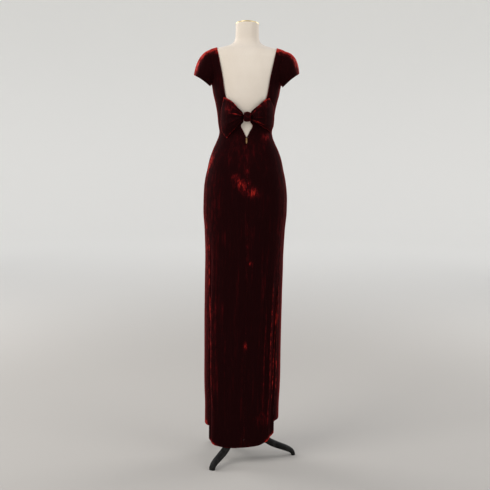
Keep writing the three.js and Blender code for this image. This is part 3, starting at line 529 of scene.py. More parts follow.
def mesh_object(
    name: str, points: Points, faces: Points, nap: Points | None = None, slots: Points | None = None
) -> bpy.types.Object:
    """A smooth mesh object from points in mm, with its faces pointing out.

    Args:
        name: the piece's name.
        points: its points, in mm.
        faces: rows of four corners.
        nap: the pile's painted sheen at each point.
        slots: each face's material slot.

    Returns:
        The new object, linked to the scene.
    """
    used, numbers = np.unique(faces, return_inverse=True)
    numbers, kept = numbers.reshape(faces.shape), points[used]
    a, b, c, d = (kept[numbers[:, i]] for i in range(4))
    volume = np.einsum("ij,ij->i", a, np.cross(b, c) + np.cross(c, d)).sum()
    if volume < 0:
        numbers = numbers[:, ::-1]
    mesh = bpy.data.meshes.new(name)
    mesh.from_pydata((kept * MM).tolist(), [], numbers.tolist())
    mesh.polygons.foreach_set("use_smooth", np.ones(len(numbers), bool))
    if slots is not None:
        mesh.polygons.foreach_set("material_index", slots.astype(np.int32))
    if nap is not None:
        mesh.attributes.new("nap", "FLOAT", "POINT").data.foreach_set("value", nap[used].astype(np.float32))
    mesh.update()
    made = bpy.data.objects.new(name, mesh)
    bpy.context.scene.collection.objects.link(made)
    return made


def slab_points(face: Points, outward: Points, thick: float) -> Points:
    """The points of a slab's outer face, then of its inner one."""
    return np.concatenate([face.reshape(-1, 3), (face - outward * thick).reshape(-1, 3)])


def slab_faces(rows: int, columns: int) -> Points:
    """Faces of a closed slab between two grids of the same size, the second behind the first."""
    row, cell = (a.ravel() for a in np.meshgrid(np.arange(rows - 1), np.arange(columns - 1), indexing="ij"))

    def at(r: Points, c: Points, layer: int) -> Points:
        """Numbers of points."""
        return (layer * rows + r) * columns + c

    faces = [
        np.stack([at(row, cell, 0), at(row, cell + 1, 0), at(row + 1, cell + 1, 0), at(row + 1, cell, 0)], 1),
        np.stack([at(row, cell, 1), at(row + 1, cell, 1), at(row + 1, cell + 1, 1), at(row, cell + 1, 1)], 1),
    ]
    c, r = np.arange(columns - 1), np.arange(rows - 1)
    for first, flip in ((0, False), (rows - 1, True)):
        rim = [at(first, c, 1), at(first, c + 1, 1), at(first, c + 1, 0), at(first, c, 0)]
        faces.append(np.stack(rim[::-1] if flip else rim, 1))
    for first, flip in ((0, True), (columns - 1, False)):
        rim = [at(r, first, 1), at(r + 1, first, 1), at(r + 1, first, 0), at(r, first, 0)]
        faces.append(np.stack(rim[::-1] if flip else rim, 1))
    return np.concatenate(faces)


def strip(name: str, face: Points, outward: Points, thick: float) -> bpy.types.Object:
    """A thin closed strip behind a grid of points.

    Args:
        name: the strip's name.
        face: its outer face, as rows and columns of points.
        outward: the outward direction at each of them.
        thick: its thickness, in mm.

    Returns:
        The new object.
    """
    return mesh_object(name, slab_points(face, outward, thick), slab_faces(*face.shape[:2]))


def small_boxes(name: str, middles: Points, along: Points, out: Points, size: Colour) -> bpy.types.Object:
    """Small boxes, such as teeth or stitches.

    Args:
        name: the piece's name.
        middles: their middles, in mm.
        along: each one's direction.
        out: each one's outward direction.
        size: half their length, depth and width, in mm.

    Returns:
        The new object.
    """
    corner = np.array([(x, y, z) for x in (-1, 1) for y in (-1, 1) for z in (-1, 1)], float)
    sides = np.array([(0, 1, 3, 2), (4, 6, 7, 5), (0, 4, 5, 1), (2, 3, 7, 6), (0, 2, 6, 4), (1, 5, 7, 3)])
    axes = np.stack([along, out, unit(np.cross(along, out))], axis=1) * np.array(size)[None, :, None]
    points = middles[:, None, :] + np.einsum("ck,nkd->ncd", corner, axes)
    faces = sides[None] + 8 * np.arange(len(middles))[:, None, None]
    return mesh_object(name, points.reshape(-1, 3), faces.reshape(-1, 4))


def turned(name: str, profile: Table, sides: int) -> bpy.types.Object:
    """A solid turned round the Z axis from (radius, z) pairs, the first and last on the axis."""
    rings = np.array(profile, float)
    turns = np.linspace(0, 2 * np.pi, sides, endpoint=False)
    points = np.stack(
        [
            np.outer(rings[:, 0], np.cos(turns)),
            np.outer(rings[:, 0], np.sin(turns)),
            np.repeat(rings[:, 1:], sides, axis=1),
        ],
        axis=-1,
    )
    return closed_rings(name, points)


def closed_rings(name: str, rings: Points) -> bpy.types.Object:
    """A closed solid through rings of points, with a middle point at each end.

    Args:
        name: the piece's name.
        rings: rings x sides x 3 points, in mm.

    Returns:
        The new object.
    """
    count, sides = rings.shape[:2]
    ring, side = np.meshgrid(np.arange(count - 1), np.arange(sides), indexing="ij")
    ring, side = ring.ravel(), side.ravel()
    beside = (side + 1) % sides
    walls = np.stack(
        [
            ring * sides + side, ring * sides + beside,
            (ring + 1) * sides + beside, (ring + 1) * sides + side,
        ],
        1,
    )
    ends = []
    middles = np.stack([rings[0].mean(0), rings[-1].mean(0)])
    k = np.arange(0, sides, 2)
    for number, first in enumerate((0, (count - 1) * sides)):
        centre = np.full(len(k), count * sides + number)
        corners = [first + k, centre, first + (k + 2) % sides, first + (k + 1) % sides]
        ends.append(np.stack(corners if number == 0 else corners[::-1], 1))
    points = np.concatenate([rings.reshape(-1, 3), middles])
    return mesh_object(name, points, np.concatenate([walls, *ends]))


class Value:
    """A number socket that grows Math nodes under Python's operators."""

    def __init__(self, graph: "Graph", socket: bpy.types.NodeSocket) -> None:
        """Wraps a socket of a graph."""
        self.graph = graph
        self.socket = socket

    def _math(self, operation: str, *inputs: "Value | float") -> "Value":
        """A Math node on these inputs."""
        values = dict(enumerate(inputs))
        return self.graph.value("ShaderNodeMath", {"operation": operation}, values)

    def __add__(self, other: "Value | float") -> "Value":
        """Sum."""
        return self._math("ADD", self, other)

    def __radd__(self, other: float) -> "Value":
        """Sum with a number before it."""
        return self._math("ADD", other, self)

    def __sub__(self, other: "Value | float") -> "Value":
        """Difference."""
        return self._math("SUBTRACT", self, other)

    def __rsub__(self, other: float) -> "Value":
        """A number less this."""
        return self._math("SUBTRACT", other, self)

    def __mul__(self, other: "Value | float") -> "Value":
        """Product."""
        return self._math("MULTIPLY", self, other)

    def __rmul__(self, other: float) -> "Value":
        """Product with a number before it."""
        return self._math("MULTIPLY", other, self)

    def __pow__(self, other: float) -> "Value":
        """Power."""
        return self._math("POWER", self, other)

    def between(self, low: float, high: float) -> "Value":
        """Rises smoothly from 0 at low to 1 at high."""
        settings = {"interpolation_type": "SMOOTHSTEP"}
        return self.graph.value("ShaderNodeMapRange", settings, {0: self, 1: low, 2: high})

    def clipped(self) -> "Value":
        """Kept from 0 to 1."""
        return self.graph.value("ShaderNodeClamp", {}, {0: self})



class Graph:
    """One material's nodes."""

    def __init__(self, name: str) -> None:
        """Starts a material with a Principled shader."""
        self.material = bpy.data.materials.new(name)
        self.material.use_nodes = True
        self.tree = self.material.node_tree
        self.shader = self.tree.nodes["Principled BSDF"]
        self.place = self.node("ShaderNodeTexCoord", {}, {}).outputs["Object"]

    def node(self, kind: str, settings: dict, inputs: dict) -> bpy.types.Node:
        """Adds a node.

        Args:
            kind: the node's type.
            settings: its properties, or "stops" for a ramp's places and colours.
            inputs: values or links by socket name or number.

        Returns:
            The node.
        """
        made = self.tree.nodes.new(kind)
        for key, setting in settings.items():
            if key == "stops":
                for i, (place, tone) in enumerate(setting):
                    stops = made.color_ramp.elements
                    stop = stops[i] if i < len(stops) else stops.new(place)
                    stop.position, stop.color = place, (*tone, 1)
            else:
                setattr(made, key, setting)
        for key, given in inputs.items():
            self.feed(made.inputs[key], given)
        return made

    def feed(self, socket: bpy.types.NodeSocket, given: object) -> None:
        """Links a socket, or sets its value."""
        if isinstance(given, Value):
            given = given.socket
        if isinstance(given, bpy.types.NodeSocket):
            self.tree.links.new(given, socket)
        elif isinstance(given, tuple) and len(given) == 3 and socket.type == "RGBA":
            socket.default_value = (*given, 1)
        else:
            socket.default_value = given

    def value(self, kind: str, settings: dict, inputs: dict, output: int | str = 0) -> Value:
        """Adds a node and wraps its number output."""
        return Value(self, self.node(kind, settings, inputs).outputs[output])

    def attribute(self, name: str) -> Value:
        """A number that is kept on the mesh's points."""
        return self.value("ShaderNodeAttribute", {"attribute_name": name}, {}, "Fac")

    def stretched(self, scale: Colour) -> bpy.types.NodeSocket:
        """The place on the object, scaled along each axis."""
        settings = {"operation": "MULTIPLY"}
        return self.node("ShaderNodeVectorMath", settings, {0: self.place, 1: scale}).outputs[0]

    def noise(self, scale: Colour | float, detail: float = 2.0, rough: float = 0.5) -> Value:
        """Smooth noise, its scale in spots for each metre."""
        scales = scale if isinstance(scale, tuple) else (scale,) * 3
        inputs = {"Vector": self.stretched(scales), "Scale": 1.0, "Detail": detail, "Roughness": rough}
        return self.value("ShaderNodeTexNoise", {}, inputs, "Fac")

    def mix(self, share: Value | float, first: object, second: object) -> bpy.types.NodeSocket:
        """A colour between two."""
        made = self.node("ShaderNodeMix", {"data_type": "RGBA"}, {0: share, 6: first, 7: second})
        return made.outputs[2]

    def bump(self, height: Value, distance: float, strength: float = 1.0) -> None:
        """Feeds the shader's Normal with a height in metres."""
        inputs = {"Strength": strength, "Distance": distance, "Height": height}
        self.feed(self.shader.inputs["Normal"], self.node("ShaderNodeBump", {}, inputs).outputs[0])

    def set(self, **given: object) -> None:
        """Sets or links the shader's sockets, named with _ for a space."""
        for key, setting in given.items():
            self.feed(self.shader.inputs[key.replace("_", " ")], setting)


@dataclass(frozen=True)
class Velvet:
    """Crushed silk velvet: almost black face on, with a painted red sheen in its colour where the pile lies
    over.
    """

    name: str = "velvet"
    deep: Colour = (0.0081, 0.0018, 0.0021)
    # middle and the red highlight colour below are painted sheen: the base colour rises to them where the
    # pile is painted as catching the light
    middle: Colour = (0.062, 0.0036, 0.0045)
    painted_highlight: Colour = (0.40, 0.021, 0.013)
    tint: Colour = (1.0, 0.05, 0.05)

    def material(self) -> bpy.types.Material:
        """The pile's colour with its painted sheen, its streaks and its fine grain."""
        graph = Graph(self.name)
        streak = graph.noise((85, 85, 5), 3, 0.6)
        blotch = graph.noise((26, 26, 9), 2)
        crush = graph.noise((85, 85, 34), 4, 0.65)
        grain = graph.noise(1300, 2)
        mottle = graph.noise((340, 340, 60), 3, 0.7)
        nap = graph.attribute("nap")
        # painted sheen: the pile's painted brightness kept on the mesh, mottled by the crush, plus faint
        # random streaks, lifts the base colour towards the painted highlight
        painted_pile_sheen = nap * (0.28 + 1.4 * crush.between(0.36, 0.68)) * (0.4 + 1.3 * mottle.between(0.32, 0.7))
        faint = 0.2 * streak.between(0.46, 0.74) * blotch.between(0.35, 0.7)
        shine = (painted_pile_sheen + faint * (1 - nap.clipped())).clipped()
        low = graph.mix(shine.between(0.0, 0.45), self.deep, self.middle)
        tone = graph.mix(shine.between(0.25, 1.0), low, self.painted_highlight)
        speck = (0.82 + 0.36 * grain).clipped()
        shade = graph.node(
            "ShaderNodeMix", {"data_type": "RGBA", "blend_type": "MULTIPLY"}, {0: 0.6, 6: tone, 7: speck}
        ).outputs[2]
        graph.set(
            Base_Color=shade, Roughness=0.92 - 0.3 * shine, Sheen_Weight=0.6, Sheen_Roughness=0.25,
            Sheen_Tint=self.tint, Specular_IOR_Level=0.04, Specular_Tint=self.tint,
        )
        graph.bump(0.35 * grain + 0.5 * streak + 0.5 * crush, 0.0007, 0.7)
        return graph.material


@dataclass(frozen=True)
class WrongSide:
    """The velvet's woven back, greyish brown-red and dull."""

    name: str = "velvet_wrong_side"
    dark: Colour = (0.05, 0.026, 0.024)
    light: Colour = (0.11, 0.064, 0.056)

    def material(self) -> bpy.types.Material:
        """A fine plain weave with uneven dye."""
        graph = Graph(self.name)
        thread = graph.noise((900, 900, 900), 1)
        dye = graph.noise(40, 3)
        tone = graph.mix((0.6 * dye + 0.5 * thread).between(0.25, 0.8), self.dark, self.light)
        graph.set(Base_Color=tone, Roughness=0.9 - 0.1 * thread, Specular_IOR_Level=0.2)
        graph.bump(thread, 0.0004, 0.6)
        return graph.material


@dataclass(frozen=True)
class FormCover:
    """Stretch jersey over the form, cream and matte."""

    name: str = "form_cover"
    light: Colour = (0.68, 0.61, 0.53)
    dark: Colour = (0.595, 0.52, 0.435)

    def material(self) -> bpy.types.Material:
        """Fine ribs of knit with faint cloudy wear."""
        graph = Graph(self.name)
        rib = graph.noise((1500, 1500, 500), 1)
        cloud = graph.noise((7, 7, 5), 3)
        slub = graph.noise((240, 240, 900), 2)
        tone = graph.mix((0.6 * cloud + 0.25 * slub + 0.15 * rib).between(0.3, 0.75), self.light, self.dark)
        graph.set(
            Base_Color=tone, Roughness=0.82 + 0.1 * slub, Sheen_Weight=0.15, Sheen_Roughness=0.5,
            Specular_IOR_Level=0.25,
        )
        graph.bump(0.6 * rib + 0.4 * slub, 0.00035, 0.5)
        return graph.material


@dataclass(frozen=True)
class Metal:
    """Brass or a like metal, with fine scratches and a little tarnish."""

    name: str
    light: Colour
    dark: Colour
    rough: float
    metallic: float = 1.0

    def material(self) -> bpy.types.Material:
        """Brushed and faintly spotted."""
        graph = Graph(self.name)
        brushed = graph.noise((120, 120, 2200), 2)
        spot = graph.noise(260, 4, 0.6)
        tone = graph.mix((0.7 * spot + 0.3 * brushed).between(0.35, 0.75), self.light, self.dark)
        graph.set(Base_Color=tone, Metallic=self.metallic, Roughness=self.rough + 0.18 * spot)
        graph.bump(0.5 * brushed + 0.5 * spot, 0.00008, 0.5)
        return graph.material


@dataclass(frozen=True)
class CastIron:
    """Painted cast iron: charcoal, satin, rubbed where feet and floors touch it."""

    name: str = "stand_iron"
    dark: Colour = (0.004, 0.0037, 0.0034)
    worn: Colour = (0.03, 0.028, 0.025)

    def material(self) -> bpy.types.Material:
        """Sand-cast grain under worn paint."""
        graph = Graph(self.name)
        cast = graph.noise(420, 3, 0.6)
        rub = graph.noise((60, 60, 22), 4, 0.6)
        edge = graph.value("ShaderNodeNewGeometry", {}, {}, "Pointiness").between(0.5, 0.56)
        wear = (rub.between(0.5, 0.72) * 0.55 + edge * 0.4 * rub).clipped()
        tone = graph.mix(wear, self.dark, self.worn)
        graph.set(Base_Color=tone, Roughness=0.5 + 0.25 * cast, Specular_IOR_Level=0.14)
        graph.bump(0.7 * cast + 0.3 * rub, 0.0006, 0.55)
        return graph.material


@dataclass
class Finishes:
    """All the object's materials."""

    velvet: bpy.types.Material = field(init=False)
    wrong_side: bpy.types.Material = field(init=False)
    cover: bpy.types.Material = field(init=False)
    brass: bpy.types.Material = field(init=False)
    zip_metal: bpy.types.Material = field(init=False)
    zip_tape: bpy.types.Material = field(init=False)
    thread: bpy.types.Material = field(init=False)
    iron: bpy.types.Material = field(init=False)

    def __post_init__(self) -> None:
        """Makes each once."""
        self.velvet = Velvet().material()
        self.wrong_side = WrongSide().material()
        self.cover = FormCover().material()
        self.brass = Metal("cap_brass", (0.8, 0.64, 0.34), (0.6, 0.45, 0.2), 0.24).material()
        self.zip_metal = Metal("zip_metal", (0.36, 0.22, 0.1), (0.2, 0.11, 0.05), 0.36).material()
        self.zip_tape = WrongSide("zip_tape", (0.02, 0.003, 0.004), (0.05, 0.008, 0.01)).material()
        self.thread = WrongSide("thread", (0.06, 0.008, 0.01), (0.11, 0.016, 0.018)).material()
        self.iron = CastIron().material()


def dress(
    piece: bpy.types.Object,
    materials: list[bpy.types.Material],
    slot: str,
    *nodes: str,
    body: str = ROOT_BODY,
) -> bpy.types.Object:
    """Gives a piece its materials and ties it to the frame.

    Args:
        piece: the new object.
        materials: its slots' materials, in order.
        slot: the record's material slot; it is not used.
        nodes: the CAD nodes that it stands for.
        body: the CAD body that it rides on.

    Returns:
        The same object.
    """
    for material in materials:
        piece.data.materials.append(material)
    if nodes:
        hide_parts(*nodes)
    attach(piece, body)
    LOG.info("%s: %d faces", piece.name, len(piece.data.polygons))
    return piece


@dataclass
class Tailoring:
    """Where the gown's seams and edges run."""

    body: Body
    centre_back: float = 4
    waist: float = 1326
    waist_drop: float = 14
    waist_drop_at: float = 271
    waist_drop_wide: float = 16
    underarm: float = 1513
    shoulder: float = 1661
    strap_rows: int = 12
    centre_seam: Table = ((60, 12), (700, 12.5), (900, 13.5), (1100, 11), (1200, 8), (1300, 4))
    side_seam: Table = ((60, 31), (300, 31), (800, 29), (1050, 21), (1330, 8), (1513, 0))
    back_edge: Table = (
        (1312, 0.1), (1336, 12), (1359, 22.5), (1374, 13), (1398, 12), (1412, 17), (1426, 31), (1440, 50),
        (1455, 70), (1470, 80), (1504, 86.5), (1540, 92), (1573, 98), (1607, 105), (1635, 110.5), (1661, 117),
    )
    front_edge: Table = ((1513, 88), (1560, 98), (1610, 107), (1661, 117))
    # height, distance on the back, distance on the front
    armholes: Table = (
        (1513, 136.5, 136.5), (1517, 134.2, 133.4), (1524, 131, 129), (1540, 127.5, 123.5),
        (1568, 126.5, 120.5), (1600, 131, 126.5), (1626, 139, 136), (1642, 146, 145), (1661, 151, 151),
    )

    def __post_init__(self) -> None:
        """Makes the tables' curves."""
        self.seam_across = column(self.centre_seam, 1)
        self.seam_behind = column(self.side_seam, 1)
        self.back_in = column(self.back_edge, 1)
        self.front_in = column(self.front_edge, 1)
        self.armhole_back = column(self.armholes, 1)
        self.armhole_front = column(self.armholes, 2)
        heights = np.linspace(1604, 1706, 400)
        across = self.body.half(heights)
        self.ridge = lambda x: np.interp(-np.asarray(x, float), -across, heights)

    def waist_at(self, angle: Points) -> Points:
        """Height of the waist seam, which drops towards the centre back."""
        return self.waist - self.waist_drop * bump(angle - self.waist_drop_at, self.waist_drop_wide)

    def strap_share(self, row: Points) -> Points:
        """Share of the way from the underarm to the shoulder at a strap's row."""
        wave = (1 - np.cos(np.pi * row / self.strap_rows)) / 2
        return 1 - (1 - wave) ** 1.25

    def _strap_edge(self, across: Points, row: Points, is_front: bool) -> tuple[Points, Points]:
        """Turn and height of a strap's edge that runs at a distance across."""
        z = lerp(self.underarm, self.ridge(across), self.strap_share(row))
        turn = np.where(row >= self.strap_rows, 0.0, self.body.angle_across(across, z, True))
        return (turn if is_front else -turn), z

    def _strap_z(self, row: Points) -> Points:
        """Height along the edges' tables at a strap's row."""
        return lerp(self.underarm, self.shoulder, self.strap_share(row))

    def armhole(self, row: Points, is_front: bool) -> tuple[Points, Points]:
        """Turn and height of the armhole's edge at a strap's row."""
        table = self.armhole_front if is_front else self.armhole_back
        return self._strap_edge(table(self._strap_z(row)), row, is_front)

    def neck(self, row: Points, is_front: bool) -> tuple[Points, Points]:
        """Turn and height of the strap's inner edge at a strap's row."""
        table = self.front_in if is_front else self.back_in
        return self._strap_edge(table(self._strap_z(row)), row, is_front)

    def side_angle(self, side: Side, turn: Points) -> Points:
        """The angle of a turn away from the wearer's right or left side."""
        return turn if side is Side.RIGHT else 180 - turn


def edged(count: int, long_mm: float, near: tuple[float, ...] = (0.35, 0.8, 1.5, 2.8)) -> Points:
    """Shares from 0 to 1 with fine steps near both ends, for a rolled edge."""
    ends = np.array([0.0, *near]) / long_mm
    middle = np.linspace(near[-1] / long_mm, 1 - near[-1] / long_mm, count)[1:-1]
    return np.concatenate([ends, middle, 1 - ends[::-1]])


@dataclass
class Skirt:
    """The narrow skirt: a front that reaches round both sides, and two back panels."""

    cut: Tailoring
    slit_top: float = 775
    slit_over: float = 120
    # degrees by which the front and the back edge are drawn away from the slit; the front
    # one laps over the back panel, and past its own solid's edge
    slit_draw_front: float = -2.4
    slit_draw_back: float = 0.5
    slit_proud_low: float = 2.6
    slit_proud_high: float = 4.5
    slit_within: float = 26
    hem_middle: float = 152
    hem_right: float = 168
    hem_left: float = 143
    corner_rise: float = 6
    corner_from: float = 4
    corner_to: float = 30
    top_level: float = 1300
    low_level: float = 215
    row_mm: float = 6.2
    top_rows: int = 6
    zip_end: float = 800
    thick: float = 1.4
    allowance_from: float = 277
    allowance_to: float = 625
    # heights of the waist allowance's rows, from the seam
    allowance_rows: tuple[float, ...] = (1.2, -1.0, -3.5, -6.0, -9.0)
    stitch_pitch: float = 6.0
    # rows under the turned hem and columns under an allowance, in front and behind
    front_inside: tuple[int, int] = (8, 7)
    back_inside: tuple[int, int] = (6, 8)
    front_columns: int = 150
    back_columns: int = 72
    back_hem: Table = (
        (-137, 114), (-130, 91), (-118, 77), (-98, 70.5), (-50, 68.5), (9, 72), (74, 80), (100, 91),
        (120, 107), (137, 125),
    )

    def _rows(self) -> Callable[[Points, Callable[[Points], Points]], Points]:
        """How a row's share of the way down becomes a height at each angle."""
        top = np.array([0, 0.03, 0.07, 0.16, 0.4, 0.7])
        middle = np.arange(self.top_level, self.low_level, -self.row_mm)
        low = np.array([0, 0.14, 0.28, 0.42, 0.56, 0.7, 0.82, 0.92, 0.965, 0.985, 0.995, 1])

        def heights(angle: Points, hem: Callable[[Points], Points]) -> Points:
            """Heights of all rows at angles given for each row and column."""
            count = angle.shape[1]
            upper = lerp(self.cut.waist_at(angle[: len(top)]), self.top_level, top[:, None])
            flat = np.repeat(middle[:, None], count, axis=1)
            lower = lerp(self.low_level, hem(angle[-len(low):]), low[:, None])
            return np.concatenate([upper, flat, lower])

        self.row_count = len(top) + len(middle) + len(low)
        return heights

    def slit_open(self, z: Points) -> Points:
        """How far the slit has opened at a height, from 0 to 1."""
        return 1 - ramp(z, self.slit_top - self.slit_over, self.slit_top)

    def front(self) -> Cloth:
        """The front panel, whose free edge at the slit lifts."""

        def hem(angle: Points) -> Points:
            """Height of the front hem."""
            cos = np.cos(np.radians(angle))
            rise = self.corner_rise * ramp(-angle, self.corner_from, self.corner_to)
            return lerp(self.hem_middle, np.where(cos > 0, self.hem_right, self.hem_left), cos**2) + rise

        heights = self._rows()
        share = np.tile(edged(self.front_columns, 590), (self.row_count, 1))
        level = heights(180 * share, hem)
        behind, opened = self.cut.seam_behind(level), self.slit_open(level)
        start = -behind + self.slit_draw_front * opened
        angle = lerp(start, 180 + behind, share)
        z = heights(angle, hem)
        points, nap = self.cut.body.cloth(angle, z)
        outward = self.cut.body.outward(points)
        near = 1 - ramp(angle - start, 0, self.slit_within)
        proud = lerp(self.slit_proud_low, self.slit_proud_high, ramp(z, 340, 600))
        points = points + outward * (proud * opened * near)[..., None]
        # painted highlight along the lifted front edge of the slit, waving with height
        nap = nap + 0.4 * opened * bump(angle - start - 1.2, 2.2) * (0.6 + 0.4 * np.sin(z / 47))
        seams = (Edge.FIRST_COLUMN, Edge.LAST_COLUMN, Edge.FIRST_ROW)
        return Cloth("skirt_front_panel", points, outward, nap, seams=seams, free=(Edge.LAST_ROW,))

    def back(self, side: Side) -> Cloth:
        """A back panel, from its side seam to the centre back."""
        hem_z = column(self.back_hem, 1)
        low = self.cut.body.sections[0][0]

        def hem(angle: Points) -> Points:
            """Height of the back hem."""
            return hem_z(self.cut.body.oval(angle, np.full_like(angle, low))[..., 0])

        heights = self._rows()
        share = np.tile(edged(self.back_columns, 190), (self.row_count, 1))
        guess = heights(270 + side.value * 80 * (1 - share), hem)
        draw = self.slit_draw_back * self.slit_open(guess) if side is Side.RIGHT else 0.0
        start = 270 + side.value * (90 - self.cut.seam_behind(guess) - draw)
        middle = self.cut.body.angle_across(self.cut.seam_across(guess), guess, False)
        angle = lerp(start, middle, share)
        z = heights(angle, hem)
        points, nap = self.cut.body.cloth(angle, z)
        outward = self.cut.body.outward(points)
        # painted highlight along the hem towards the back corners
        nap = nap + 0.8 * bump(z - z[-1:], 8) * ramp(np.abs(points[..., 0]), 78, 122)
        name = f"skirt_back_{side.name.lower()}_panel"
        seams = (Edge.FIRST_COLUMN, Edge.LAST_COLUMN, Edge.FIRST_ROW)
        return Cloth(name, points, outward, nap, seams=seams, free=(Edge.LAST_ROW,))

    def _inside(
        self, cloth: Cloth, finishes: Finishes, hem_rows: int, edge: int, from_z: tuple[float, float]
    ) -> None:
        """A panel's turned hem with its stitches, and the allowances along both its edges.

        Args:
            cloth: the panel.
            finishes: the materials.
            hem_rows: the rows that the hem covers.
            edge: the columns that an allowance covers.
            from_z: the height at which the first and the last column's allowance start.
        """
        name = cloth.name
        dress(cloth.backing(f"{name}_hem", slice(-hem_rows, None), slice(None)), [finishes.velvet], "velvet")
        sewn = cloth.stitches(f"{name}_hem_stitches", -hem_rows, self.stitch_pitch, cloth.thick + 0.6)
        dress(sewn, [finishes.thread], "velvet")
        ends = (("first", slice(0, edge), from_z[0]), ("last", slice(-edge, None), from_z[1]))
        for end, columns, top in ends:
            rows = slice(self.top_rows + round((self.top_level - top) / self.row_mm), -hem_rows)
            allowance = cloth.backing(f"{name}_{end}_allowance", rows, columns)
            dress(allowance, [finishes.wrong_side], "velvet")

    def waist_allowance(self) -> bpy.types.Object:
        """The waist seam's allowance, all round behind the seam but at the centre back."""
        angle = np.linspace(self.allowance_from, self.allowance_to, 241)[None, :]
        z = self.cut.waist_at(angle % 360) + np.array(self.allowance_rows)[:, None]
        body = self.cut.body
        angle = np.broadcast_to(angle % 360, z.shape)
        face = body.cloth(angle, z)[0]
        outward = body.outward(face)
        face = face - outward * (self.thick + BACKING_GAP)
        return strip("waist_allowance", face, outward, ALLOWANCE_THICK)

    def build(self, finishes: Finishes) -> None:
        """Makes the three panels."""
        dress(self.waist_allowance(), [finishes.wrong_side], "velvet")
        faces = [finishes.velvet, finishes.wrong_side]
        front = self.front()
        made = dress(front.build(), faces, "velvet", "skirt_front")
        self._inside(front, finishes, *self.front_inside, (self.top_level, self.top_level))
        for side in Side:
            cloth = self.back(side)
            made = dress(cloth.build(), faces, "velvet", f"skirt_back_{side.name.lower()}")
            self._inside(cloth, finishes, *self.back_inside, (self.top_level, self.zip_end))


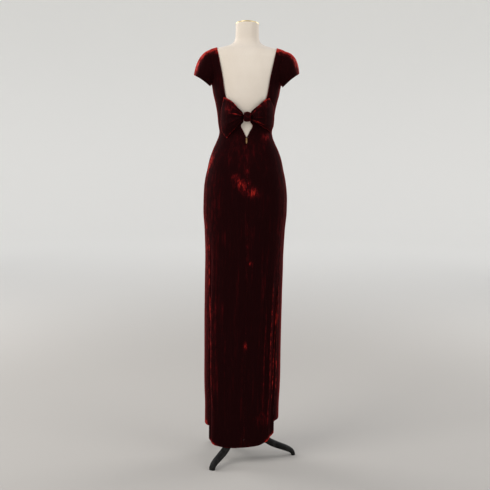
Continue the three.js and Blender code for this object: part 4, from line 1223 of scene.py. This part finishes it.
@dataclass
class Bodice:
    """The fitted bodice: a front with both straps, and two back pieces with the keyhole."""

    cut: Tailoring
    keyhole_top: float = 1374
    strap_start: float = 1470
    neckline_row: int = 4
    neckline_dip: float = 16
    strap_columns: int = 4
    half_columns: int = 13
    finer: int = 6
    first_level: float = 1345

    def back(self, side: Side) -> Cloth:
        """A back piece, from the side to the keyhole and up its strap."""
        cut, body = self.cut, self.cut.body
        share = edged(44, 120)[None, :]
        low = np.array([0, 0.03, 0.07, 0.15, 0.3, 0.5, 0.75])[:, None]
        levels = np.arange(self.first_level, cut.underarm, 3.6)[:, None]
        edge_z = np.concatenate([lerp(cut.waist - cut.waist_drop, self.first_level, low), levels])
        side_z = np.concatenate([lerp(cut.waist, self.first_level, low), levels])
        centre = cut.centre_back * (1 - ramp(edge_z, self.keyhole_top, self.strap_start))
        edge = body.angle_across(centre + side.value * cut.back_in(edge_z), edge_z, False)
        start = 270 + side.value * (90 - cut.seam_behind(side_z))
        angle = lerp(start, edge, share)
        waist_z = lerp(cut.waist_at(angle[: len(low)]), self.first_level, low)
        z = np.concatenate([waist_z, np.repeat(levels, share.size, axis=1)])
        rows = edged(54, 150, (0.35, 0.8, 1.5, 2.8))[:, None] * cut.strap_rows
        from_turn, from_z = cut.armhole(rows, False)
        to_turn, to_z = cut.neck(rows, False)
        turn = lerp(from_turn, to_turn, share)
        strap = cut.side_angle(side, turn)
        strap = strap + 360 if side is Side.RIGHT else strap
        angle = np.concatenate([angle, strap])
        z = np.concatenate([z, lerp(from_z, to_z, share)])
        points, nap = body.cloth(angle, z)
        outward = body.outward(points)
        # painted highlight where the cloth faces up towards the light
        nap = nap + 0.8 * ramp(outward[..., 2], 0.3, 0.85)
        name = f"bodice_back_{side.name.lower()}_piece"
        seams = (Edge.FIRST_COLUMN, Edge.FIRST_ROW, Edge.LAST_ROW)
        return Cloth(name, points, outward, nap, thick=1.3, seams=seams, free=(Edge.LAST_COLUMN,))

    def front(self) -> Cloth:
        """The front with both straps in one piece; its middle ends at the neckline."""
        cut, body, fine = self.cut, self.cut.body, self.finer
        middle_columns = self.half_columns - self.strap_columns
        columns = np.arange(2 * self.half_columns * fine + 1) / fine
        is_right = columns <= self.half_columns
        from_side = np.where(is_right, columns, 2 * self.half_columns - columns)[None, :]

        def turn_at(start: Points, edge: Points) -> Points:
            """Turn of each column between the side, the strap's edge and the middle."""
            outer = lerp(start, edge, from_side / self.strap_columns)
            inner = lerp(edge, 90.0, (from_side - self.strap_columns) / middle_columns)
            return np.where(from_side <= self.strap_columns, outer, inner)

        levels = np.concatenate(
            [[cut.waist + d for d in (0, 0.4, 0.9, 1.8)], np.arange(1331, cut.underarm, 5)]
        )
        levels = levels[:, None]
        behind = -cut.seam_behind(levels)
        even = lerp(behind, 90.0, from_side / self.half_columns)
        shaped = turn_at(behind, cut.neck(np.zeros(1), True)[0][0])
        low_turn = lerp(even, shaped, ramp(levels, cut.waist, cut.underarm))
        low_z = np.repeat(levels, columns.size, axis=1)
        rows = np.arange(self.strap_rows_fine() + 1)[:, None] / fine
        from_turn, from_z = cut.armhole(rows, True)
        edge_turn, edge_z = cut.neck(rows, True)
        up = np.minimum(rows / self.neckline_row, 1)
        line_z = cut.neck(np.full(1, float(self.neckline_row)), True)[1][0]
        inward = np.clip((from_side - self.strap_columns) / middle_columns, 0, 1)
        middle_z = lerp(cut.underarm, line_z - self.neckline_dip, up)
        strap_z = lerp(from_z, edge_z, from_side / self.strap_columns)
        neck_z = lerp(middle_z, np.minimum(edge_z, line_z), (1 - inward) ** 2)
        high_z = np.where(from_side <= self.strap_columns, strap_z, neck_z)
        turn = np.concatenate([low_turn, turn_at(from_turn, edge_turn)])
        z = np.concatenate([low_z, high_z])
        angle = np.where(is_right[None, :], turn, 180 - turn)
        points, nap = body.cloth(angle, z)
        outward = body.outward(points)
        # painted highlight where the cloth faces up towards the light, and painted sheen of pressed pile
        # below the bust
        nap = nap + 0.8 * ramp(outward[..., 2], 0.3, 0.85) + 0.3 * self._painted_bust_sheen(points)
        cells = np.arange(columns.size - 1)
        strap_cells = (cells < self.strap_columns * fine) | (
            cells >= (2 * self.half_columns - self.strap_columns) * fine
        )
        is_low = np.arange(len(z) - 1) < len(levels) + self.neckline_row * fine
        keep = is_low[:, None] | strap_cells[None, :]
        seams = (Edge.FIRST_COLUMN, Edge.LAST_COLUMN, Edge.FIRST_ROW, Edge.LAST_ROW)
        return Cloth("bodice_front_piece", points, outward, nap, thick=1.3, seams=seams, keep=keep)

    def strap_rows_fine(self) -> int:
        """Rows of a strap's fine grid."""
        return self.cut.strap_rows * self.finer

    def _painted_bust_sheen(self, points: Points) -> Points:
        """Painted sheen of pressed pile below the bust."""
        x, z = points[..., 0], points[..., 2]
        return bump(z - 1440 - 8 * np.sin(x / 26), 12) * bump(np.abs(x) - 66, 34)

    def build(self, finishes: Finishes) -> None:
        """Makes the three pieces."""
        cloth = [finishes.velvet, finishes.wrong_side]
        made = dress(self.front().build(), cloth, "velvet", "bodice_front")
        for side in Side:
            node = f"bodice_back_{side.name.lower()}"
            made = dress(self.back(side).build(), cloth, "velvet", node)


@dataclass
class Sleeve:
    """A cap sleeve, from the armhole's edge to an open oval."""

    cut: Tailoring
    side: Side
    tip: float = 207.4
    under: float = 142
    under_z: float = 1507
    deep: float = 60
    sag: float = 5
    gap: float = 0.1
    ring: int = 144
    rows: int = 34
    hem_rows: int = 11
    # height of the tip, and how far the bend lies towards it across and down
    right_shape: tuple[float, float, float] = (1561, 0.9, 0.12)
    left_shape: tuple[float, float, float] = (1550, 0.8, 0.22)

    def __post_init__(self) -> None:
        """Takes the side's own shape: the left sleeve droops more."""
        shape = self.right_shape if self.side is Side.RIGHT else self.left_shape
        self.tip_z, self.bend_out, self.bend_down = shape

    def _edge(self, around: Points) -> tuple[Points, Points, Points]:
        """The armhole's edge all round, from the shoulder by way of the back.

        Args:
            around: places from 0 to 24; 12 is the underarm.

        Returns:
            The points, the directions away from the strap, and the outward directions.
        """
        cut, body = self.cut, self.cut.body
        found = []
        for is_front, row in ((False, 12 - np.minimum(around, 12)), (True, np.maximum(around, 12) - 12)):
            from_turn, from_z = cut.armhole(row, is_front)
            to_turn, to_z = cut.neck(row, is_front)
            angle = cut.side_angle(self.side, from_turn)
            near = cut.side_angle(self.side, lerp(from_turn, to_turn, 0.05))
            point, _ = body.cloth(angle, from_z)
            behind, _ = body.cloth(near, lerp(from_z, to_z, 0.05))
            out = lerp(np.array([0.0, 0, 1]), unit(point - behind), ramp(row, 0, 1)[:, None])
            found.append((point, unit(out), body.outward(point)))
        is_back = (around <= 12)[:, None]
        return tuple(np.where(is_back, back, front) for back, front in zip(*found))

    def _end(self, turn: Points) -> Points:
        """The sleeve's open end, from its tip by way of the back."""
        down = (1 - np.cos(turn)) / 2
        x = self.side.value * lerp(self.tip, self.under, down)
        z = lerp(self.tip_z, self.under_z, down) + self.sag * np.sin(np.pi * down)
        return np.stack([x, -self.deep * np.sin(turn), z], axis=-1)

    def cloth(self) -> Cloth:
        """The sleeve as rings from the armhole to its open end."""
        around = np.linspace(0, 24, self.ring, endpoint=False)
        point, out, outward = self._edge(around)
        end = self._end(around / 24 * 2 * np.pi)
        start = point + out * self.gap
        bend_x = lerp(start[:, 0], end[:, 0], self.bend_out)
        bend_y = lerp(start[:, 1], end[:, 1], 0.5) * 1.22
        bend = np.stack([bend_x, bend_y, lerp(start[:, 2], end[:, 2], self.bend_down)], axis=-1)
        t = edged(self.rows, 62)[:, None, None]
        rings = start * (1 - t) ** 2 + 2 * bend * t * (1 - t) + end * t * t
        rise = np.roll(rings, -1, axis=1) - np.roll(rings, 1, axis=1)
        along = np.gradient(rings, axis=0)
        normals = unit(np.cross(rise, along))
        inside = np.array([self.side.value * (self.under + self.tip) * 0.46, 0, self.tip_z])
        flip = np.sum(normals * (rings - inside), axis=-1, keepdims=True) < 0
        normals = np.where(flip, -normals, normals)
        blend = np.clip(t * 5, 0, 1)
        normals = unit(lerp(outward[None], normals, blend))
        wave = np.sin(around / 24 * 2 * np.pi * 9 + 3 * np.sin(around)) * 0.5
        ruck = (wave[None, :, None] * 1.1 * np.sin(np.pi * t) ** 1.5) * np.clip(normals[..., 2:], 0.1, 1)
        rings = rings + normals * ruck
        # painted highlight on the sleeve's crown, where it faces up towards the light, weaker where it turns
        # to the front or back
        crown = 1 - ramp(np.abs(normals[..., 1]), 0.3, 0.8)
        nap = 0.95 * crown * ramp(normals[..., 2], -0.1, 0.35)
        name = f"cap_sleeve_{self.side.name.lower()}"
        made = Cloth(
            name, rings, normals, nap,
            thick=1.3, seams=(Edge.FIRST_ROW,), free=(Edge.LAST_ROW,), loop=True,
        )
        made.seam_gap = 0.0
        return made

    def build(self, finishes: Finishes) -> None:
        """Makes the sleeve."""
        cloth = [finishes.velvet, finishes.wrong_side]
        node = f"sleeve_{self.side.name.lower()}"
        sleeve = self.cloth()
        made = dress(sleeve.build(), cloth, "velvet", node)
        around = np.append(np.arange(self.ring), 0)
        hem = sleeve.backing(f"{sleeve.name}_hem", slice(-self.hem_rows, None), around, 0.4)
        dress(hem, [finishes.velvet], "velvet")
        sewn = sleeve.stitches(f"{sleeve.name}_hem_stitches", -self.hem_rows, 5.0, sleeve.thick + 0.5)
        dress(sewn, [finishes.thread], "velvet")


@dataclass
class Bow:
    """A flat bow over the low back: two pleated halves and a knot."""

    cut: Tailoring
    z: float = 1394.5
    throat: float = 19
    throat_long: float = 15.5
    off: float = 15
    rest: float = 2.6
    tip_lift: float = 1.2
    puff: float = 20
    crown: float = 17
    knot_wide: float = 26
    knot_tall: float = 37
    knot_deep: float = 34
    knot_off: float = 19
    knot_taper: float = 0.86
    crease_painted_sheen: float = 0.75
    out_steps: int = 66
    up_steps: int = 70
    # share up, x, z
    left_end: Table = ((0, -72, 1308), (0.25, -92, 1336), (0.5, -97, 1374), (0.75, -95, 1420), (1, -86, 1467))
    right_end: Table = (
        (0, 97, 1333), (0.25, 107, 1358), (0.5, 109.5, 1394), (0.75, 106, 1432), (1, 90, 1466),
    )
    # share out, share up and painted sheen of the patch where the pile is pressed
    left_painted_sheen_patch: tuple[float, float, float] = (0.6, 0.8, 0.36)
    right_painted_sheen_patch: tuple[float, float, float] = (0.62, 0.92, 0.2)
    # share up, proud, wide: the broad pleats
    left_pleats: Table = ((0.2, -1.8, 0.1), (0.4, 1.0, 0.1), (0.57, -2.0, 0.08), (0.7, 1.4, 0.08))
    right_pleats: Table = ((0.14, 2.2, 0.1), (0.38, -2.2, 0.09), (0.62, 1.0, 0.1), (0.88, -1.4, 0.08))
    # share up at the knot and at its end, where it ends outwards, proud, wide, painted highlight
    left_creases: Table = (
        (0.74, 0.66, 0.66, 2.0, 0.026, 0.9), (0.5, 0.31, 0.7, 1.7, 0.03, 0.18),
        (0.62, 0.5, 0.5, -1.5, 0.03, 0.0),
        (0.9, 0.88, 0.8, 1.0, 0.04, 0.22), (0.28, 0.14, 0.6, 1.0, 0.04, 0.16),
        (0.4, 0.24, 0.5, -1.1, 0.03, 0.0),
    )
    right_creases: Table = (
        (0.16, 0.12, 0.6, 2.6, 0.045, 1.05), (0.82, 0.73, 0.5, 1.5, 0.03, 0.12),
        (0.32, 0.3, 0.4, -1.6, 0.03, 0.0),
        (0.5, 0.46, 0.6, 1.1, 0.04, 0.2), (0.66, 0.6, 0.5, -1.3, 0.03, 0.0),
        (0.94, 0.93, 0.7, 0.9, 0.04, 0.25),
    )

    def half(self, side: Side) -> Cloth:
        """One half: a fan of soft pleats from the knot to the side of the back."""
        body = self.cut.body
        is_right = side is Side.RIGHT
        ends = self.right_end if is_right else self.left_end
        step = np.concatenate([np.linspace(0, 1, 7)[:-1], np.linspace(1, 11, self.out_steps)])[:, None]
        up = edged(self.up_steps, 150)[None, :]
        out = np.maximum(step - 1, 0) / 10
        middle = self.cut.centre_back + 1
        throat_x = middle + side.value * self.throat_long * np.minimum(step, 1)
        throat_z = self.z + self.throat * (up - 0.5)
        x = lerp(throat_x, column(ends, 1)(up), out)
        z = lerp(throat_z, column(ends, 2)(up), out) + self.crown * up**2 * np.sin(np.pi * out)
        plain = body.oval(body.angle_across(x, z, False), z)
        outward = body.outward(plain)
        rounding = 1 - np.abs(2 * up - 1) ** 3
        swell = np.sin(np.pi * out**0.8) ** 0.8
        rest = self.rest + self.tip_lift * (1 - up) ** 2
        lift = lerp(self.off, rest, ramp(out, 0, 1)) + self.puff * swell * (0.35 + 0.65 * rounding)
        for at, proud, wide in self.right_pleats if is_right else self.left_pleats:
            reach = ramp(out, 0, 0.12) * (1 - ramp(out, 0.45, 0.95))
            lift = lift + proud * reach * bump(up - at, wide)
        nap = np.zeros_like(lift)
        # each crease also carries a painted highlight along its ridge
        creases = self.right_creases if is_right else self.left_creases
        for start, finish, ends_at, proud, wide, painted_highlight in creases:
            reach = ramp(out, 0.0, 0.08) * (1 - ramp(out, 0.55 * ends_at, ends_at))
            line = bump(up - lerp(start, finish, np.clip(out / ends_at, 0, 1)), wide * (0.6 + out))
            lift = lift + proud * reach * line
            nap = nap + self.crease_painted_sheen * painted_highlight * reach * line**2
        soft = 0.5 * np.sin(up * 31 + 5 * out) * np.sin(np.pi * out) ** 2 * np.sin(np.pi * up)
        lift = lift + soft
        # a patch of painted sheen where the pile is pressed
        at_out, at_up, red = self.right_painted_sheen_patch if is_right else self.left_painted_sheen_patch
        nap = nap + red * bump(out - at_out, 0.17) * bump(up - at_up, 0.1)
        # painted highlights along the top edge and, stronger on the left half, along the outer end
        painted_end_highlight = 0.1 if is_right else 0.6
        nap = nap + 0.3 * bump(up - 1, 0.035) * (0.4 + out) + painted_end_highlight * bump(out - 1, 0.025)
        points = plain + outward * lift[..., None]
        toward = np.array([0.0, -1, 0])
        facing = unit(lerp(outward, toward, (1 - step / 11)[..., None]))
        name = f"bow_{side.name.lower()}_half"
        free = (Edge.LAST_ROW, Edge.FIRST_COLUMN, Edge.LAST_COLUMN)
        return Cloth(
            name, points, facing, nap,
            thick=1.8, seams=(Edge.FIRST_ROW,), free=free, pucker=0.0, roll=1.6,
        )

    def knot(self) -> Cloth:
        """The knot: a short band round the two throats, with folds along it."""
        turn = np.linspace(0, 2 * np.pi, 120, endpoint=False)[None, :]
        share = (2 * edged(30, self.knot_wide) - 1)[:, None]
        x = self.knot_wide / 2 * share + self.cut.centre_back + 1
        barrel = lerp(1, self.knot_taper, share**2)
        ripple = 1.1 * np.cos(4 * turn) * (1 - share**2)
        folds = 1.3 * np.abs(np.sin(3.5 * turn + 0.8 * share + 0.4)) ** 0.6 - 0.9
        folds = folds * (1 - 0.5 * share**2)
        tall = (self.knot_tall / 2 + ripple) * barrel + folds
        deep = self.knot_deep / 2 * barrel + folds
        sin, cos = np.sin(turn), np.cos(turn)
        centre_y = -(self.cut.body.depth(np.float64(self.z), False) + self.knot_off)
        y = centre_y + deep * np.sign(sin) * np.abs(sin) ** 0.8
        z = self.z + tall * np.sign(cos) * np.abs(cos) ** 0.8
        points = np.stack(np.broadcast_arrays(x, y, z), axis=-1).astype(float)
        middle = np.stack(np.broadcast_arrays(x, centre_y, np.float64(self.z)), axis=-1)
        outward = unit(points - middle)
        # painted highlight on the folds' crests and where the knot faces up
        nap = 0.16 * ramp(folds, 0.0, 0.4) * (1 - share**2) + 0.08 * ramp(outward[..., 2], 0.5, 1)
        free = (Edge.FIRST_ROW, Edge.LAST_ROW)
        return Cloth("bow_knot_band", points, outward, nap + 0 * x, thick=1.6, free=free, loop=True)

    def build(self, finishes: Finishes) -> None:
        """Makes both halves and the knot."""
        cloth = [finishes.velvet, finishes.wrong_side]
        for side in Side:
            node = f"bow_{side.name.lower()}"
            made = dress(self.half(side).build(), cloth, "velvet", node)
        made = dress(self.knot().build(), cloth, "velvet", "bow_knot")


@dataclass
class Zip:
    """The centre-back zip: tapes and teeth behind the seam, its slider and its pull."""

    cut: Tailoring
    top: float = 1315
    low: float = 806
    pitch: float = 1.7
    tape_wide: float = 11
    tape_thick: float = 0.5
    behind: float = 2.1
    tooth_aside: float = 0.95
    parting: float = 0.1
    parts_at: float = 1309
    tape_from: float = 0.6
    tape_step: float = 4.0
    tape_short: float = 12
    tooth: Colour = (0.75, 0.5, 0.55)

    def _line(self, z: Points, aside: Points, deep: float) -> tuple[Points, Points]:
        """Points beside the seam and behind the cloth's face, and their outward directions."""
        body = self.cut.body
        z, aside = np.broadcast_arrays(z, aside)
        face, _ = body.cloth(body.angle_across(self.cut.seam_across(z) + aside, z, False), z)
        outward = body.outward(face)
        return face - outward * deep, outward

    def tapes(self) -> bpy.types.Object:
        """Both tapes as thin strips behind the seam."""
        z = np.arange(self.low, self.top - self.tape_short, self.tape_step)[:, None]
        points, faces = [], []
        for side in Side:
            aside = side.value * np.linspace(self.tape_from, self.tape_wide, 5)[None, :]
            outer, outward = self._line(z, aside, self.behind)
            faces.append(slab_faces(*outer.shape[:2]) + sum(len(p) for p in points))
            points.append(slab_points(outer, outward, self.tape_thick))
        return mesh_object("zip_tapes", np.concatenate(points), np.concatenate(faces))

    def teeth(self) -> bpy.types.Object:
        """Small teeth on both sides of the seam, alternating, that part above the slider."""
        height = np.arange(self.low, self.top, self.pitch / 2)
        side = np.where(np.arange(len(height)) % 2, 1.0, -1.0)
        spread = self.tooth_aside + self.parting * np.maximum(height - self.parts_at, 0)
        middles, out = self._line(height, side * spread, self.behind - 0.2)
        along = np.broadcast_to(np.array([1.0, 0, 0]), out.shape)
        return small_boxes("zip_teeth", middles, along, out, self.tooth)

    def build(self, finishes: Finishes) -> None:
        """Makes the tapes and teeth, and softens the slider's and the pull's edges."""
        dress(self.tapes(), [finishes.zip_tape], "velvet")
        dress(self.teeth(), [finishes.zip_metal], "zip_metal")
        for node, body in (("zip_slider", ROOT_BODY), ("zip_pull", PULL_BODY)):
            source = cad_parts[node]
            mesh = source.data.copy()
            mesh.materials.clear()
            made = bpy.data.objects.new(f"{node}_rounded", mesh)
            bpy.context.scene.collection.objects.link(made)
            bevel = made.modifiers.new("soft_edges", "BEVEL")
            bevel.width, bevel.segments = 0.00022, 2
            bevel.limit_method, bevel.angle_limit = "ANGLE", math.radians(40)
            dress(made, [finishes.zip_metal], "zip_metal", node, body=body)


@dataclass
class DressForm:
    """The covered torso and its brass cap."""

    cut: Tailoring
    wall: float = 2.0
    clear: float = 3.0
    shoulder_clear: float = 0.7
    bottom: float = 900
    neck_start: float = 1700
    neck_top: float = 1746.5
    neck_tilt: float = 16
    cap_radius: float = 45.5
    cap_rim: float = 4.5
    cap_dome: float = 3.5
    sides: int = 144

    def torso(self) -> bpy.types.Object:
        """The body's shape inside the cloth, with a plain neck."""
        body = self.cut.body
        low, high = np.arange(self.bottom, 1590, 6), np.arange(1590, self.neck_start, 2.4)
        levels = np.concatenate([low, high, np.linspace(self.neck_start, self.neck_top, 10)])
        z, angle = np.meshgrid(levels, np.linspace(0, 360, self.sides, endpoint=False), indexing="ij")
        outside = body.oval(angle, z)
        clear = lerp(self.clear, self.shoulder_clear, ramp(z, 1600, 1645))
        cup = np.where(z > self.cut.waist, body.cups(outside), 0.0)
        rings = outside + body.outward(outside) * (cup - self.wall - clear)[..., None]
        rings[0, :, 2] = self.bottom
        rings[-1, :, 2] = self.neck_top
        lean = np.clip((z - self.neck_start) / (self.neck_top - self.neck_start), 0, 1)
        rings[..., 2] -= math.tan(math.radians(self.neck_tilt)) * rings[..., 1] * lean
        return closed_rings("form_cover_torso", rings)

    def cap(self) -> bpy.types.Object:
        """The neck's cap: a low dome with a rolled rim."""
        base, r = 0.3, self.cap_radius
        top = base + self.cap_rim
        profile = [
            (0, base), (r - 1.4, base), (r - 0.5, base + 0.2), (r, base + 0.9), (r + 0.1, base + 2.2),
            (r, top - 1.2), (r - 0.4, top - 0.4), (r - 1.2, top), (r - 2.2, top + 0.05),
            (r - 2.8, top - 0.15),
        ]
        for share in np.linspace(0.9, 0.06, 14):
            profile.append((r * share, top + self.cap_dome * math.sqrt(1 - share**2) * 0.98 - 0.1))
        profile.append((0, top + self.cap_dome * 0.98 - 0.1))
        made = turned("neck_cap_dome", tuple(profile), 96)
        tilt = math.radians(self.neck_tilt)
        oval = Matrix.Diagonal((1, 1 / math.cos(tilt), 1, 1))
        lift = Matrix.Translation((0, 0, self.neck_top * MM))
        made.data.transform(lift @ Matrix.Rotation(-tilt, 4, "X") @ oval)
        return made

    def build(self, finishes: Finishes) -> None:
        """Makes the torso and the cap."""
        dress(self.torso(), [finishes.cover], "form_cover", "form_torso")
        dress(self.cap(), [finishes.brass], "cap_brass", "neck_cap")


@dataclass
class Stand:
    """The pole, the hub and three cast legs."""

    pole_radius: float = 11
    pole_bottom: float = 170.3
    pole_top: float = 899.7
    flange_radius: float = 40
    flange_thick: float = 6
    hub_radius: float = 27
    hub_bottom: float = 110
    hub_top: float = 170
    # out, up, tall, wide
    leg_rows: Table = (
        (27.5, 136, 34, 26), (44, 126, 32, 27), (66, 104, 30, 28), (88, 81.5, 28.5, 29),
        (108, 64.5, 28, 29.5),
        (128, 52.3, 28, 30), (150, 43, 27, 30), (172, 35, 25.5, 29), (193, 27, 23.5, 27.5), (210, 17, 20, 26),
        (217, 7, 17, 25), (218, 0, 16, 24),
    )
    leg_turns: tuple[tuple[str, float], ...] = (("leg_right", 4.5), ("leg_far", 122), ("leg_near", 239))

    def leg(self, name: str, turn: float) -> bpy.types.Object:
        """A cast leg that curves out and down to a flat foot."""
        count = len(self.leg_rows)
        place = np.linspace(0, count - 1, 72)
        numbers = tuple(range(count))
        out, up, tall, wide = (
            Curve(numbers, tuple(row[i] for row in self.leg_rows))(place) for i in range(4)
        )
        path = unit(np.stack([np.gradient(out), np.gradient(up)], axis=-1))
        path[0], path[-1] = (1, 0), (0, -1)
        around = np.linspace(0, 2 * np.pi, 32, endpoint=False)
        square = 2 / 2.5
        rise = np.outer(tall / 2, np.sign(np.cos(around)) * np.abs(np.cos(around)) ** square)
        aside = np.outer(wide / 2, np.sign(np.sin(around)) * np.abs(np.sin(around)) ** square)
        x = out[:, None] - path[:, 1:] * rise
        z = up[:, None] + path[:, :1] * rise
        angle = math.radians(turn)
        points = np.stack(
            [
                x * math.cos(angle) - aside * math.sin(angle),
                x * math.sin(angle) + aside * math.cos(angle),
                z,
            ],
            -1,
        )
        return closed_rings(f"{name}_cast", points)

    def build(self, finishes: Finishes) -> None:
        """Makes the legs, the hub and the pole."""
        for name, turn in self.leg_turns:
            dress(self.leg(name, turn), [finishes.iron], "stand_iron", name)
        r, low, top = self.hub_radius, self.hub_bottom, self.hub_top
        hub = [(0, low), (r * 0.55, low), (r * 0.93, low + 7), (r, low + 14), (r, top - 16),
        (r * 0.8, top - 8),
               (self.pole_radius + 4, top), (0, top)]
        dress(turned("hub_casting", tuple(hub), 64), [finishes.iron], "stand_iron", "base_hub")
        flange = self.pole_top - self.flange_thick
        pole = [(0, self.pole_bottom), (self.pole_radius, self.pole_bottom), (self.pole_radius, flange),
                (self.flange_radius, flange), (self.flange_radius, self.pole_top), (0, self.pole_top)]
        dress(turned("pole_tube", tuple(pole), 64), [finishes.iron], "stand_iron", "pole")
        for piece in ("hub_casting", "pole_tube"):
            bevel = bpy.data.objects[piece].modifiers.new("soft_edges", "BEVEL")
            bevel.width, bevel.segments = 0.0012, 2


@dataclass(frozen=True)
class Lamp:
    """A soft square light that looks at the gown."""

    name: str
    place: Colour
    power: float
    size: float
    tint: Colour = (1.0, 1.0, 1.0)

    def build(self, target: Colour) -> None:
        """Adds the light, turned to its target."""
        data = bpy.data.lights.new(self.name, "AREA")
        data.energy, data.size, data.color = self.power, self.size, self.tint
        lamp = bpy.data.objects.new(self.name, data)
        bpy.context.scene.collection.objects.link(lamp)
        away = np.array(self.place) - np.array(target)
        lamp.matrix_world = looking(away, np.array(self.place))


def looking(away: Points, place: Points, roll: float = 0.0) -> Matrix:
    """The matrix of a lamp or camera at a place that looks against away.

    Args:
        away: the direction behind it.
        place: where it is, in metres.
        roll: its turn about its own axis, in radians.

    Returns:
        The world matrix.
    """
    back = unit(away)
    right = unit(np.cross(np.array([0.0, 0, 1]), back))
    up = np.cross(back, right)
    turned_right = math.cos(roll) * right + math.sin(roll) * up
    turned_up = math.cos(roll) * up - math.sin(roll) * right
    columns = np.stack([turned_right, turned_up, back, place], axis=1)
    return Matrix([*columns.tolist(), (0, 0, 0, 1)])


@dataclass
class Studio:
    """A pale bowl of a floor, soft lights and the camera."""

    lens: float = 85
    eye: Colour = (0.0044, -4.6, 1.565)
    pitch: float = 8.5
    roll: float = 0.9
    floor_tone: Colour = (0.40, 0.38, 0.355)
    wall_tone: Colour = (0.8, 0.79, 0.76)
    low_glow: Colour = (0.16, 0.157, 0.15)
    high_glow: Colour = (0.09, 0.09, 0.086)
    sky: Colour = (0.93, 0.95, 1.0)
    sky_power: float = 0.62
    sides: int = 96
    lamps: tuple[Lamp, ...] = (
        Lamp("key_light", (-3.0, -2.6, 3.4), 120, 2.6, (1.0, 0.98, 0.95)),
        Lamp("fill_light", (3.4, -2.4, 2.2), 45, 2.6),
        Lamp("left_rim_light", (-2.6, 1.9, 2.4), 60, 1.8),
        Lamp("right_rim_light", (2.6, 1.9, 2.2), 45, 1.8),
    )

    def floor(self) -> bpy.types.Object:
        """The floor, which curves up far round the object."""
        radius, bend, high = 6500.0, 2600.0, 4300.0
        profile = [(0.0, 0.0), (radius / 2, 0.0), (radius, 0.0)]
        bends = np.linspace(0.1, math.pi / 2, 16)
        profile += [(radius + bend * math.sin(a), bend - bend * math.cos(a)) for a in bends]
        profile.append((radius + bend, high))
        count = self.sides
        turns = np.linspace(0, 2 * np.pi, count, endpoint=False)
        rings = np.array(profile)
        points = np.stack(
            [np.outer(rings[:, 0], np.cos(turns)), np.outer(rings[:, 0], np.sin(turns)),
             np.repeat(rings[:, 1:], count, axis=1)], -1,
        )
        inner_rings = np.arange(1, len(rings) - 1)
        ring, side = (a.ravel() for a in np.meshgrid(inner_rings, np.arange(count), indexing="ij"))
        beside = (side + 1) % count
        faces = [
            (r * count + a, r * count + b, (r + 1) * count + b, (r + 1) * count + a)
            for r, a, b in zip(ring, side, beside)
        ]
        mesh = bpy.data.meshes.new("studio_floor")
        middle = tuple(reversed(range(count, 2 * count)))
        mesh.from_pydata((points.reshape(-1, 3) * MM).tolist(), [], [*faces, middle])
        mesh.polygons.foreach_set("use_smooth", np.ones(len(mesh.polygons), bool))
        made = bpy.data.objects.new("studio_floor", mesh)
        bpy.context.scene.collection.objects.link(made)
        graph = Graph("studio_floor")
        up = graph.value("ShaderNodeSeparateXYZ", {}, {0: graph.place}, "Z").between(0.3, 2.6)
        away = graph.value("ShaderNodeVectorMath", {"operation": "LENGTH"}, {0: graph.place}, "Value")
        far = away.between(1.4, 6.2)
        tone = graph.mix(far, self.floor_tone, self.wall_tone)
        glow = graph.mix(far, (0.0, 0.0, 0.0), graph.mix(up, self.low_glow, self.high_glow))
        graph.set(
            Base_Color=tone, Roughness=0.8, Specular_IOR_Level=0.2, Emission_Color=glow, Emission_Strength=1.0
        )
        mesh.materials.append(graph.material)
        made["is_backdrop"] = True
        return made

    def camera(self) -> None:
        """The camera at the photograph's height, pitch and lean."""
        data = bpy.data.cameras.new("camera")
        data.lens, data.sensor_width = self.lens, 36.0
        data.clip_end = 60
        camera = bpy.data.objects.new("camera", data)
        bpy.context.scene.collection.objects.link(camera)
        pitch = math.radians(self.pitch)
        away = np.array([0.0, -math.cos(pitch), math.sin(pitch)])
        camera.matrix_world = looking(away, np.array(self.eye), math.radians(self.roll))
        bpy.context.scene.camera = camera

    def build(self) -> None:
        """Makes the floor, the lights, the sky and the camera."""
        self.camera()
        self.floor()
        for lamp in self.lamps:
            lamp.build((0, 0, 0.9))
        world = bpy.data.worlds.new("soft_sky")
        world.use_nodes = True
        background = world.node_tree.nodes["Background"]
        background.inputs["Color"].default_value = (*self.sky, 1)
        background.inputs["Strength"].default_value = self.sky_power
        bpy.context.scene.world = world
        bpy.context.scene.view_settings.view_transform = "Standard"


def corners(box: tuple) -> list[list[float]]:
    """A box as plain lists of numbers."""
    return [[float(v) for v in corner] for corner in box]


def main() -> None:
    """Builds the gown, the form, the stand and the studio."""
    cad_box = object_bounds()
    Studio().build()
    finishes = Finishes()
    cut = Tailoring(Body())
    Skirt(cut).build(finishes)
    Bodice(cut).build(finishes)
    for side in Side:
        Sleeve(cut, side).build(finishes)
    Bow(cut).build(finishes)
    Zip(cut).build(finishes)
    DressForm(cut).build(finishes)
    Stand().build(finishes)
    {"cad": corners(cad_box), "visual": corners(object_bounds())}


if __name__ == "__main__":
    main()
